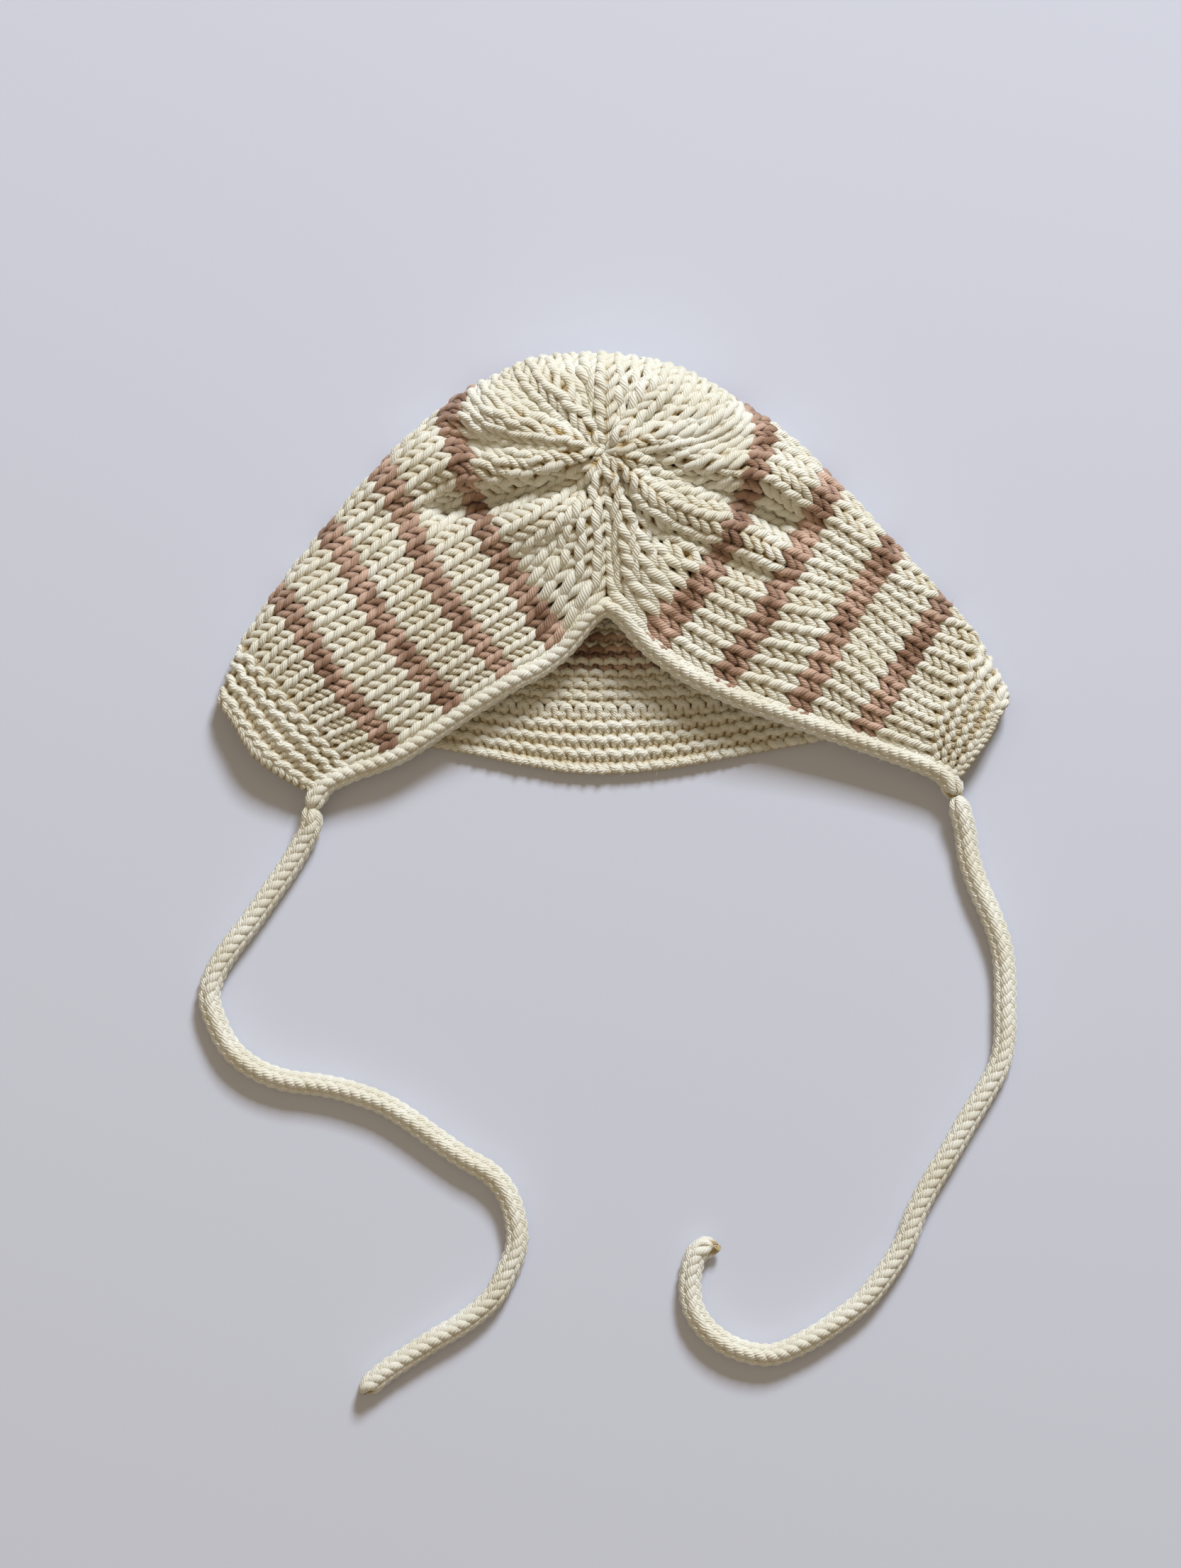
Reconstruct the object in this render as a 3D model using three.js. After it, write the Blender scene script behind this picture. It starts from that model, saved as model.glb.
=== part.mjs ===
// A hand-knitted baby bonnet that lies on its back, its face opening upwards, and its two ties laid loose.
// Millimetres, +Z up, the floor at z = 0. +X is to the right and +Y towards the crown's fold.
// The bonnet is one knitted wall, folded at both sides and over the crown: a back that lies flat on the
// floor, and two front flaps and a gathered crown above it. The surface is worked out from knitting
// courses, which run round the head from one face edge to the other, and wales, which run from the neck
// edge to the crown. Two numbers name a place on it: round, from 0 at the left face edge to 64 at the
// right one, and rise, from 0 at the neck edge to 1 at the crown's centre.

import * as THREE from 'three';
import { mergeVertices } from 'three/addons/utils/BufferGeometryUtils.js';

// Driving sizes
const bonnetWidth = 248; // across the two folded corners of the neck band
const bonnetLength = 144; // from the crown's fold to the corners of the ties
const crownHeight = 24; // the wall's middle at the crown's centre, above the floor
const knitWall = 3.6; // thickness of the knitted fabric
const waleLength = 156; // from the neck edge to the crown's centre, along the fabric
const bandDepth = 17.8; // the garter band along the neck edge
const ridgeRelief = 0.5; // how deep the band's grooves are on each side
const foldBend = 6; // how far the rounded side folds reach in
const crownBend = 9; // the same where the crown turns over
const crownReach = 50; // from the crown's centre to the last stripe, along the fabric
const edgingDiameter = 7.4; // the rolled cord edging of the face opening
const tieDiameter = 7.4;
const fitGap = 0.3; // clearance between pieces that meet
const seamGap = 0.7; // the same along the seams where the band, flaps, back and crown meet
const flapAcross = 16; // facets of each flap, from its face edge to its fold
const backAcross = 32; // facets of the back, from fold to fold

// The crown's centre, and the join where the face opening ends, as shares of half the width and length
const crownCentre = { x: -0.018, y: 0.548 };
const joinReach = 0.75; // share of crownReach at which the two flaps join
const joinY = -0.04;

const halfWidth = bonnetWidth / 2;
const halfLength = bonnetLength / 2;
const halfWall = knitWall / 2;
const lastRound = 64;

// The columns of the surface, with their places round the head. The fold columns are the silhouette.
const columns = [
  { name: 'edgeLeft', round: 0 },
  { name: 'flapLeft', round: 7 },
  { name: 'shoulderLeft', round: 13.4 },
  { name: 'foldLeft', round: 15.5 },
  { name: 'underLeft', round: 17.6 },
  { name: 'backLeft', round: 24 },
  { name: 'backCentre', round: 32 },
  { name: 'backRight', round: 40 },
  { name: 'underRight', round: 46.4 },
  { name: 'foldRight', round: 48.5 },
  { name: 'shoulderRight', round: 50.6 },
  { name: 'flapRight', round: 57 },
  { name: 'edgeRight', round: 64 },
];

// Courses from the neck edge to the third stripe. Plan places are [x, y] shares of half the width and
// length; heights are shares of crownHeight, at the face edge, mid flap and beside the fold.
const courses = [
  {
    name: 'hem', rise: 0,
    edgeLeft: [-0.757, -0.91], flapLeft: [-0.893, -0.75], foldLeft: [-0.985, -0.505],
    backLeft: [-0.437, -0.7], backCentre: [-0.027, -0.81], backRight: [0.42, -0.7],
    foldRight: [0.987, -0.495], flapRight: [0.935, -0.677], edgeRight: [0.857, -0.87],
    edgeHeight: 0.26, flapHeight: 0.36, foldHeight: 0.34,
  },
  {
    name: 'bandTop', rise: 0.114,
    edgeLeft: [-0.65, -0.815], flapLeft: [-0.776, -0.565], foldLeft: [-0.925, -0.27],
    backLeft: [-0.437, -0.49], backCentre: [-0.023, -0.563], backRight: [0.42, -0.49],
    foldRight: [0.914, -0.265], flapRight: [0.815, -0.565], edgeRight: [0.79, -0.795],
    edgeHeight: 0.31, flapHeight: 0.48, foldHeight: 0.44,
  },
  {
    name: 'stripe1', rise: 0.237,
    edgeLeft: [-0.545, -0.75], flapLeft: [-0.695, -0.44], foldLeft: [-0.838, -0.05],
    backLeft: [-0.4, -0.235], backCentre: [-0.021, -0.31], backRight: [0.375, -0.235],
    foldRight: [0.828, -0.09], flapRight: [0.712, -0.415], edgeRight: [0.612, -0.683],
    edgeHeight: 0.36, flapHeight: 0.6, foldHeight: 0.54,
  },
  {
    name: 'stripe2', rise: 0.384,
    edgeLeft: [-0.384, -0.569], flapLeft: [-0.56, -0.23], foldLeft: [-0.712, 0.225],
    backLeft: [-0.355, 0.06], backCentre: [-0.02, 0.015], backRight: [0.32, 0.06],
    foldRight: [0.7, 0.15], flapRight: [0.585, -0.16], edgeRight: [0.452, -0.585],
    edgeHeight: 0.44, flapHeight: 0.68, foldHeight: 0.62,
  },
  {
    name: 'stripe3', rise: 0.532,
    edgeLeft: [-0.255, -0.431], flapLeft: [-0.436, -0.035], foldLeft: [-0.578, 0.485],
    backLeft: [-0.3, 0.43], backCentre: [-0.018, 0.385], backRight: [0.262, 0.42],
    foldRight: [0.546, 0.425], flapRight: [0.42, -0.03], edgeRight: [0.262, -0.4615],
    edgeHeight: 0.54, flapHeight: 0.74, foldHeight: 0.68,
  },
];

// The crown as rails from its centre to the last stripe: the compass angle in degrees, the reach along
// the fabric as a share of crownReach, and the distance to the silhouette as a share of it, where the
// rail turns over to the back.
const crownRails = {
  edgeLeft: { angle: 257, reach: 1.25 },
  flapLeft: { angle: 218, reach: 0.89 },
  shoulderLeft: { angle: 171, reach: 0.96 },
  foldLeft: { angle: 163, reach: 1.03, silhouette: 1.0 },
  underLeft: { angle: 154, reach: 1.1, silhouette: 0.92 },
  backLeft: { angle: 130, reach: 1.06, silhouette: 0.73 },
  backCentre: { angle: 90, reach: 1.0, silhouette: 0.6 },
  backRight: { angle: 48, reach: 1.04, silhouette: 0.68 },
  underRight: { angle: 22, reach: 1.1, silhouette: 0.87 },
  foldRight: { angle: 12, reach: 1.02, silhouette: 0.99 },
  shoulderRight: { angle: 4, reach: 0.97 },
  flapRight: { angle: -39, reach: 0.94 },
  edgeRight: { angle: -77, reach: 1.22 },
};
const lastStripeRise = 0.68;
const crownRings = [0.75, 0.5, 0.25, 0];
const crownSink = 0.26; // how much lower the last stripe lies than the crown's centre

// Folds and dents of the upper side. Each runs from one place to another, as shares of half the width
// and length, with its half width as a share of crownHeight and its height as one (a dent is negative).
const folds = [
  { name: 'right finger', from: [0.02, 0.51], to: [0.4, 0.1], halfWidth: 0.24, height: 0.12 },
  { name: 'right ridge', from: [0.04, 0.6], to: [0.46, 0.42], halfWidth: 0.24, height: 0.12 },
  { name: 'right hollow', from: [0.1, 0.5], to: [0.42, 0.28], halfWidth: 0.22, height: -0.2 },
  { name: 'under finger', from: [0.14, 0.22], to: [0.42, 0], halfWidth: 0.2, height: -0.16 },
  { name: 'right valley', from: [0.42, 0.2], to: [0.78, -0.45], halfWidth: 0.4, height: -0.16 },
  { name: 'left upper ridge', from: [-0.08, 0.56], to: [-0.36, 0.7], halfWidth: 0.24, height: 0.08 },
  { name: 'left middle ridge', from: [-0.1, 0.5], to: [-0.4, 0.5], halfWidth: 0.24, height: 0.08 },
  { name: 'left deep dent', from: [-0.09, 0.41], to: [-0.42, 0.32], halfWidth: 0.3, height: -0.18 },
  { name: 'left notch', from: [-0.32, 0.6], to: [-0.44, 0.64], halfWidth: 0.22, height: -0.1 },
  { name: 'left sag', from: [-0.42, 0.28], to: [-0.62, 0.1], halfWidth: 0.5, height: -0.12 },
  { name: 'left lower ridge', from: [-0.1, 0.3], to: [-0.3, 0.2], halfWidth: 0.22, height: 0.08 },
];

// Ties: the route of each one's middle from its corner to its free end, [x, y, z] in millimetres.
const tieLeftRoute = [
  [-94.4, -70.6, 6.0], [-94.5, -76.4, 5.2], [-97, -81.5, 4.2], [-101, -88.4, 3.7], [-106.7, -96.7, 3.7],
  [-113.3, -106.2, 3.7], [-119.8, -114.7, 3.7], [-124.7, -122.9, 3.7], [-126.4, -130, 3.7],
  [-124, -138.4, 3.7], [-119.3, -146.7, 3.7], [-111.6, -152.7, 3.7], [-102, -156.2, 3.7],
  [-91.3, -157.6, 3.7], [-81.8, -159.8, 3.7], [-72.2, -163.3, 3.7], [-64, -168.2, 3.7],
  [-55.6, -174.2, 3.7], [-47.3, -180, 3.7], [-38.9, -184.9, 3.7], [-33.6, -190.9, 3.7],
  [-30.7, -199.1, 3.7], [-30.2, -207.6, 3.7], [-33.6, -216.9, 3.7], [-37.8, -224.2, 3.7],
  [-46, -231.3, 3.7], [-55.6, -237.1, 3.7], [-65.1, -243.1, 3.7], [-72.2, -248, 3.7], [-78.2, -253.3, 3.7],
];
const tieRightRoute = [
  [107.3, -67.6, 6.0], [108.9, -72.8, 5.2], [110.2, -78.5, 4.2], [111.3, -86.2, 3.7], [114.2, -95.1, 3.7],
  [118.2, -104.2, 3.7], [121.6, -114.4, 3.7], [122.7, -123.6, 3.7], [122.7, -132.7, 3.7],
  [122.7, -141.8, 3.7], [121.1, -150.7, 3.7], [116.4, -159.8, 3.7], [110.9, -168.9, 3.7],
  [105.1, -179.1, 3.7], [99.6, -188.2, 3.7], [94.9, -197.3, 3.7], [91.6, -206.2, 3.7],
  [86.9, -214.2, 3.7], [79.1, -224.4, 3.7], [68.9, -232.4, 3.7], [59.8, -238, 3.7], [49.6, -242, 3.7],
  [39.3, -240.4, 3.7], [31.3, -235.8, 3.7], [25.8, -229.1, 3.7], [24, -221.1, 3.7], [25.1, -213.1, 3.7],
  [27.3, -209, 3.7], [32.7, -208, 3.9],
];

/** A number eased from 0 to 1 as t goes from 0 to 1, with a level start and end. */
function ease(t) {
  const s = Math.min(1, Math.max(0, t));
  return s * s * (3 - 2 * s);
}

/** A smooth curve through values at rising knots, read at one place: cubic pieces whose slopes are the
 *  mean of the slopes on both sides, and level with the nearest piece at the two ends. */
function through(knots, values, at) {
  const last = knots.length - 1;
  let i = 0;
  while (i < last - 1 && at > knots[i + 1]) i += 1;
  const slope = (k) => {
    const a = Math.max(0, k - 1);
    const b = Math.min(last, k + 1);
    return (values[b] - values[a]) / (knots[b] - knots[a]);
  };
  const span = knots[i + 1] - knots[i];
  const t = (at - knots[i]) / span;
  const t2 = t * t;
  const t3 = t2 * t;
  return (2 * t3 - 3 * t2 + 1) * values[i]
    + (t3 - 2 * t2 + t) * span * slope(i)
    + (3 * t2 - 2 * t3) * values[i + 1]
    + (t3 - t2) * span * slope(i + 1);
}

/** A place [x, y] given in shares, as millimetres. */
function plan([x, y]) {
  return [x * halfWidth, y * halfLength];
}

/** The middle of the wall at one column of a course: the upper side on the flaps, the floor at the back,
 *  and half way up on the folds. Shoulder and under columns lie one bend inside their fold. */
function coursePoint(course, name) {
  const side = name.endsWith('Left') ? 'Left' : 'Right';
  const low = halfWall;
  const shoulder = course.foldHeight * crownHeight;
  const [fx, fy] = plan(course[`fold${side}`]);
  const [ux, uy] = plan(course[`back${side}`]);
  const [sx, sy] = plan(course[`flap${side}`]);
  const inward = (x, y) => {
    const far = Math.hypot(x - fx, y - fy);
    return [fx + (x - fx) * foldBend / far, fy + (y - fy) * foldBend / far];
  };
  if (name.startsWith('shoulder')) return [...inward(sx, sy), shoulder];
  if (name.startsWith('under')) return [...inward(ux, uy), low];
  const height = {
    edge: course.edgeHeight * crownHeight,
    flap: course.flapHeight * crownHeight,
    fold: (shoulder + low) / 2,
  };
  const kind = name.slice(0, 4);
  return [...plan(course[name]), kind in height ? height[kind] : low];
}

/** How far out and how far down a length of fabric ends that turns over a rounded silhouette. */
function turnOver(length, silhouette, bend) {
  const level = silhouette - bend;
  const turn = Math.max(0, (length - level) / bend);
  if (turn <= Math.PI) {
    return { out: Math.min(length, level) + bend * Math.sin(turn), down: (1 - Math.cos(turn)) / 2 };
  }
  return { out: level - (turn - Math.PI) * bend, down: 1 };
}

/** The middle of the wall on a crown rail, at a share of the way from the centre to the last stripe. */
function crownPoint(name, share) {
  const rail = crownRails[name];
  const [cx, cy] = plan([crownCentre.x, crownCentre.y]);
  const length = share * rail.reach * crownReach;
  const turned = rail.silhouette
    ? turnOver(length, rail.silhouette * crownReach, crownBend)
    : { out: length, down: 0 };
  const top = crownHeight * (1 - crownSink * share * share);
  const z = top - turned.down * (top - halfWall);
  if (name.startsWith('edge') && share <= joinReach) {
    const joint = joinY * halfLength;
    return [cx, cy + (joint - cy) * share / joinReach, crownHeight * (1 - 0.42 * share * share)];
  }
  const angle = THREE.MathUtils.degToRad(rail.angle);
  const drop = name.startsWith('edge') ? 0.75 * crownSink * crownHeight : 0;
  return [cx + turned.out * Math.cos(angle), cy + turned.out * Math.sin(angle), z - drop];
}

// The net of control places: a column has one at each station from the neck edge to the crown's centre.
const rounds = columns.map((column) => column.round);
const ringRise = (share) => 1 - share * (1 - lastStripeRise);
const stations = [
  ...courses.map((course) => course.rise),
  lastStripeRise,
  ...crownRings.map(ringRise),
];
const joinRise = ringRise(joinReach);
const foldRounds = columns.filter(({ name }) => name.startsWith('fold')).map(({ round }) => round);
const net = columns.map(({ name }) => [
  ...courses.map((course) => coursePoint(course, name)),
  crownPoint(name, 1),
  ...crownRings.map((share) => crownPoint(name, share)),
]);
const joinStation = stations.indexOf(joinRise);

/** The axis value (0 x, 1 y, 2 z) of one column's curve at a rise. The face edges have a corner at the
 *  join, so they are curved apart on each side of it. */
function onColumn(index, rise, axis) {
  const values = net[index].map((place) => place[axis]);
  const isEdge = index === 0 || index === columns.length - 1;
  if (!isEdge) return through(stations, values, rise);
  if (rise >= joinRise) {
    return through(stations.slice(joinStation), values.slice(joinStation), rise);
  }
  return through(stations.slice(0, joinStation + 1), values.slice(0, joinStation + 1), rise);
}

/** The height that the folds and dents add at a place on the upper side: for each one a rounded bell
 *  across its line, that fades past its ends. */
function relief(x, y) {
  let sum = 0;
  for (const fold of folds) {
    const [ax, ay] = plan(fold.from);
    const [bx, by] = plan(fold.to);
    const length2 = (bx - ax) ** 2 + (by - ay) ** 2;
    const along = Math.min(1, Math.max(0, ((x - ax) * (bx - ax) + (y - ay) * (by - ay)) / length2));
    const away = Math.hypot(x - ax - along * (bx - ax), y - ay - along * (by - ay));
    const half = fold.halfWidth * crownHeight;
    sum += fold.height * crownHeight * Math.exp(-((away / half) ** 2));
  }
  return sum;
}

/** The middle of the wall at a round and a rise. */
function surface(round, rise) {
  const at = [0, 1, 2].map((axis) => {
    const across = columns.map((_, index) => onColumn(index, rise, axis));
    return through(rounds, across, round);
  });
  const raised = ease((at[2] / crownHeight - 0.3) / 0.25);
  const z = at[2] + raised * relief(at[0], at[1]);
  return new THREE.Vector3(at[0], at[1], Math.max(halfWall, z));
}

/** The outward normal of the surface, from two short steps along it. */
function outward(round, rise) {
  if (rise > 0.999) return new THREE.Vector3(0, 0, 1);
  const step = 0.05;
  const stepUp = 0.002;
  const a = Math.max(0, round - step);
  const b = Math.min(lastRound, round + step);
  const low = Math.max(0, rise - stepUp);
  const high = Math.min(1, rise + stepUp);
  const around = surface(b, rise).sub(surface(a, rise));
  const upward = surface(round, high).sub(surface(round, low));
  return upward.cross(around).normalize();
}

/** The seam near a rise, or the rise itself: on both sides of a seam the wall is cut the same way. */
function seamRise(rise) {
  return [bandDepth / waleLength, joinRise].find((seam) => Math.abs(seam - rise) < 0.005) ?? rise;
}

/** The same for the slits along the two folds. */
function seamRound(round) {
  return foldRounds.find((fold) => Math.abs(fold - round) < 0.2) ?? round;
}

/** A face of the wall: a place on the surface moved out (side 1) or in (side -1) by half its thickness. */
function wallPoint(round, rise, side, half) {
  const normal = outward(seamRound(round), seamRise(rise));
  if (rise >= joinRise && (round === 0 || round === lastRound)) {
    normal.copy(outward(0, rise)).add(outward(lastRound, rise)).normalize();
  }
  return surface(round, rise).addScaledVector(normal, side * half);
}

/** A closed geometry from a list of places and a list of triangles. */
function solid(places, triangles) {
  const geometry = new THREE.BufferGeometry();
  const flat = places.flatMap((place) => [place.x, place.y, place.z]);
  geometry.setAttribute('position', new THREE.Float32BufferAttribute(flat, 3));
  geometry.setIndex(triangles.flat());
  return geometry;
}

/** The two triangles of a four-cornered face. */
function quad(a, b, c, d) {
  return [[a, b, c], [a, c, d]];
}

/** A strip of knitted wall: a grid of rounds by rises, open at all four sides, with a closed rim.
 *  place(column, row, side) gives the outer (side 1) and inner (side -1) places. The rim's faces are all
 *  split along the same diagonals, so that the two sides of a seam stay parallel. */
function wallStrip(columnCount, rowCount, place) {
  const places = [];
  const triangles = [];
  const size = columnCount * rowCount;
  const id = (i, j, side) => (side > 0 ? 0 : size) + j * columnCount + i;
  for (const side of [1, -1]) {
    for (let j = 0; j < rowCount; j += 1) {
      for (let i = 0; i < columnCount; i += 1) places.push(place(i, j, side));
    }
  }
  for (let j = 0; j < rowCount - 1; j += 1) {
    for (let i = 0; i < columnCount - 1; i += 1) {
      triangles.push(...quad(id(i, j, 1), id(i, j + 1, 1), id(i + 1, j + 1, 1), id(i + 1, j, 1)));
      triangles.push(...quad(id(i, j, -1), id(i + 1, j, -1), id(i + 1, j + 1, -1), id(i, j + 1, -1)));
    }
  }
  const rim = [];
  for (let i = 0; i < columnCount; i += 1) rim.push([i, 0]);
  for (let j = 1; j < rowCount; j += 1) rim.push([columnCount - 1, j]);
  for (let i = columnCount - 2; i >= 0; i -= 1) rim.push([i, rowCount - 1]);
  for (let j = rowCount - 2; j > 0; j -= 1) rim.push([0, j]);
  rim.forEach(([i, j], k) => {
    const [m, n] = rim[(k + 1) % rim.length];
    const [a, b, c, d] = [id(i, j, 1), id(m, n, 1), id(m, n, -1), id(i, j, -1)];
    triangles.push(...(m + n > i + j ? quad(a, b, c, d) : quad(b, c, d, a)));
  });
  return solid(places, triangles);
}

/** Even steps from one number to another, both ends included. */
function steps(from, to, count) {
  return Array.from({ length: count + 1 }, (_, k) => from + (to - from) * k / count);
}

/** How much of round the cord edging takes at a face edge: its radius and a gap, over the local spacing. */
function edgeInset(rise, fromRight) {
  const near = fromRight ? lastRound : 0;
  const next = fromRight ? lastRound - 1 : 1;
  const spacing = surface(near, rise).distanceTo(surface(next, rise));
  return (edgingDiameter / 2 + 2 * fitGap) / spacing;
}

/** How much of round each side of a fold takes for the slit between a flap and the back. */
function foldInset(rise, round) {
  return seamGap / 2 / surface(round - 0.5, rise).distanceTo(surface(round + 0.5, rise));
}

/** The rounds of a course in its three parts: each flap from the cord edging to its fold, and the back. */
function courseRounds(rise) {
  const [left, right] = foldRounds;
  const [leftInset, rightInset] = foldRounds.map((round) => foldInset(rise, round));
  return {
    flap_left: steps(edgeInset(rise, false), left - leftInset, flapAcross),
    back: steps(left + leftInset, right - rightInset, backAcross),
    flap_right: steps(right + rightInset, lastRound - edgeInset(rise, true), flapAcross),
  };
}

/** All the rounds of a course, from one face edge to the other. */
function allRounds(rise) {
  return Object.values(courseRounds(rise)).flat();
}

/** The gathered crown: rings of the closed part, and one place at the centre of each side. Its rounds are
 *  those of the body's last course, and one more over the join. */
function crownGeometry() {
  const rounds = [0, ...allRounds(joinRise)];
  const around = rounds.length;
  const rises = steps(joinRise, 1, 7).slice(0, -1);
  const places = [];
  const triangles = [];
  const ring = (j, side) => (j + (side > 0 ? 0 : rises.length)) * around;
  for (const side of [1, -1]) {
    for (const rise of rises) {
      for (const round of rounds) places.push(wallPoint(round, rise, side, halfWall));
    }
  }
  const outerTip = places.push(wallPoint(0, 1, 1, halfWall)) - 1;
  const innerTip = places.push(wallPoint(0, 1, -1, halfWall)) - 1;
  for (let i = 0; i < around; i += 1) {
    const n = (i + 1) % around;
    for (let j = 0; j < rises.length - 1; j += 1) {
      const [a, b] = [ring(j, 1), ring(j + 1, 1)];
      const [c, d] = [ring(j, -1), ring(j + 1, -1)];
      triangles.push(...quad(a + i, b + i, b + n, a + n));
      triangles.push(...quad(c + i, c + n, d + n, d + i));
    }
    const top = rises.length - 1;
    triangles.push([ring(top, 1) + i, outerTip, ring(top, 1) + n]);
    triangles.push([ring(top, -1) + n, innerTip, ring(top, -1) + i]);
    triangles.push(...quad(ring(0, 1) + i, ring(0, 1) + n, ring(0, -1) + n, ring(0, -1) + i));
  }
  return solid(places, triangles);
}

/** One part of the stockinette wall, a flap or the back, from the band to the crown. */
function partGeometry(name) {
  const rises = steps((bandDepth + seamGap) / waleLength, joinRise - seamGap / waleLength, 14);
  const grid = rises.map((rise) => courseRounds(rise)[name]);
  const place = (i, j, side) => wallPoint(grid[j][i], rises[j], side, halfWall);
  return wallStrip(grid[0].length, rises.length, place);
}

/** The garter band along the neck edge: four ridges with grooves between them, on both sides. */
function bandGeometry() {
  const ridges = 4;
  const rises = steps(0, bandDepth / waleLength, 2 * ridges);
  const grid = rises.map(allRounds);
  const half = (j) => halfWall - (j % 2 === 0 ? ridgeRelief : 0);
  const place = (i, j, side) => wallPoint(grid[j][i], rises[j], side, half(j));
  return wallStrip(grid[0].length, rises.length, place);
}

/** A round cord: a circle carried along a smooth curve through the places. */
function cordGeometry(places, diameter, sides, stepCount) {
  const section = new THREE.Shape();
  for (let k = 0; k < sides; k += 1) {
    const turn = 2 * Math.PI * k / sides;
    const [x, y] = [Math.cos(turn) * diameter / 2, Math.sin(turn) * diameter / 2];
    if (k === 0) section.moveTo(x, y);
    else section.lineTo(x, y);
  }
  section.closePath();
  const extrudePath = new THREE.CatmullRomCurve3(places, false, 'centripetal');
  return new THREE.ExtrudeGeometry(section, { steps: stepCount, bevelEnabled: false, extrudePath });
}

/** The edging's end at a tie's corner, and a place just before it in line with the tie. */
function cornerPlaces(route) {
  const end = new THREE.Vector3(...route[0]);
  const along = new THREE.Vector3(...route[1]).sub(end).normalize();
  return [end, end.clone().addScaledVector(along, -2.5)];
}

/** The cord edging of the face opening: from the left tie, up the left face edge, round the join and down
 *  the right one to the right tie. */
function edgingGeometry() {
  const rises = [...steps(0.03, 0.62, 8), lastStripeRise];
  const left = rises.map((rise) => surface(0, rise));
  const right = rises.map((rise) => surface(lastRound, rise)).reverse();
  const join = surface(0, joinRise);
  join.y -= edgingDiameter / 2 + fitGap + halfWall / 2;
  join.z -= halfWall / 2;
  const [start, near] = cornerPlaces(tieLeftRoute);
  const [end, far] = cornerPlaces(tieRightRoute);
  return cordGeometry([start, near, ...left, join, ...right, far, end], edgingDiameter, 10, 48);
}

/** One tie, which starts a gap past the edging's end. */
function tieGeometry(route) {
  const places = route.map((place) => new THREE.Vector3(...place));
  const along = places[1].clone().sub(places[0]).normalize();
  places[0].addScaledVector(along, fitGap);
  return cordGeometry(places, tieDiameter, 8, 20);
}

const cream = 0xe9e4cd;
const rose = 0xb08d7e;

/** A named mesh of a knitted piece in its own wool. */
function piece(name, geometry, color) {
  const material = new THREE.MeshStandardMaterial({ color, roughness: 0.95, metalness: 0 });
  const mesh = new THREE.Mesh(geometry, material);
  mesh.name = name;
  return mesh;
}

const bonnet = new THREE.Group();
bonnet.add(
  piece('crown', crownGeometry(), cream),
  piece('flap_left', partGeometry('flap_left'), rose),
  piece('back', partGeometry('back'), rose),
  piece('flap_right', partGeometry('flap_right'), rose),
  piece('neck_band', bandGeometry(), cream),
  piece('face_edging', edgingGeometry(), cream),
  piece('tie_left', tieGeometry(tieLeftRoute), cream),
  piece('tie_right', tieGeometry(tieRightRoute), cream),
);
bonnet.traverse((child) => {
  if (child.isMesh && !child.geometry.index) {
    child.geometry.deleteAttribute('normal');
    child.geometry.deleteAttribute('uv');
    child.geometry = mergeVertices(child.geometry, 1e-4);
  }
});

export default bonnet;
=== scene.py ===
"""Hand-knitted baby bonnet, lying on its back with its face opening up and its two ties laid loose.

Every stitch is made as a loop of plied wool yarn. The fabric is one surface, worked out from the knitting's
courses and wales, and each course is a yarn that waves to and fro on that surface. Metres, +Z up, the floor
at z = 0, +X to the right and +Y towards the crown's fold.
"""

import logging
import math
from dataclasses import dataclass, field, replace
from enum import Enum

import bpy
import numpy as np
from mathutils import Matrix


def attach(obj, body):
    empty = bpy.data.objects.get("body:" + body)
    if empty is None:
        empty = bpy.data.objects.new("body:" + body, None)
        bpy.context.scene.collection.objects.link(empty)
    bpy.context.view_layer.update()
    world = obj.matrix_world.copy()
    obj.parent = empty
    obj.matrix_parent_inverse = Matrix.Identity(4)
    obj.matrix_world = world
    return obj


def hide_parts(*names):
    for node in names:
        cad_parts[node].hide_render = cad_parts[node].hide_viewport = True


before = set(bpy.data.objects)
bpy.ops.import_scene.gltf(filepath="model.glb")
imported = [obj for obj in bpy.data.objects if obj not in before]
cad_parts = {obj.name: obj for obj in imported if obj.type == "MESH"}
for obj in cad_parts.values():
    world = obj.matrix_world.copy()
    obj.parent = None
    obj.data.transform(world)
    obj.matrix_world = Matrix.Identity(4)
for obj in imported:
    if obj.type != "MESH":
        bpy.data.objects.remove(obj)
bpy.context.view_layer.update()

log = logging.getLogger("bonnet")

MM = 0.001

# The photograph's size in pixels and its scale, with the plan place at its middle.
PHOTO_SIZE = (1666, 2212)
PIXELS_PER_METRE = 4500.0
PHOTO_CENTRE = (-0.0071, -0.0633)

# Round the head, rounds and wales are both counted from the left face edge, past the back, to the right
# one. Rounds lay out the surface, and each wale is one stitch wide.
LAST_ROUND = 64
LAST_WALE = 66


class Wool(Enum):
    """The two yarns of the bonnet."""

    CREAM = "cream"
    ROSE = "rose"


class Stitch(Enum):
    """How a course is worked, as seen from the outside: the sign says on which side its legs lie."""

    KNIT = 1
    PURL = -1


@dataclass(frozen=True)
class Yarn:
    """A plied wool yarn.

    Attributes:
        radius: Half its thickness, in metres.
        plies: Number of strands that are twisted together.
        lay: Length of one turn of a ply, in metres, negative where it winds the other way.
        sides: Facets round it.
        samples: Steps along it for each stitch.
    """

    radius: float = 1.25 * MM
    plies: int = 7
    lay: float = -6.6 * MM
    sides: int = 8
    samples: int = 14


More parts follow.
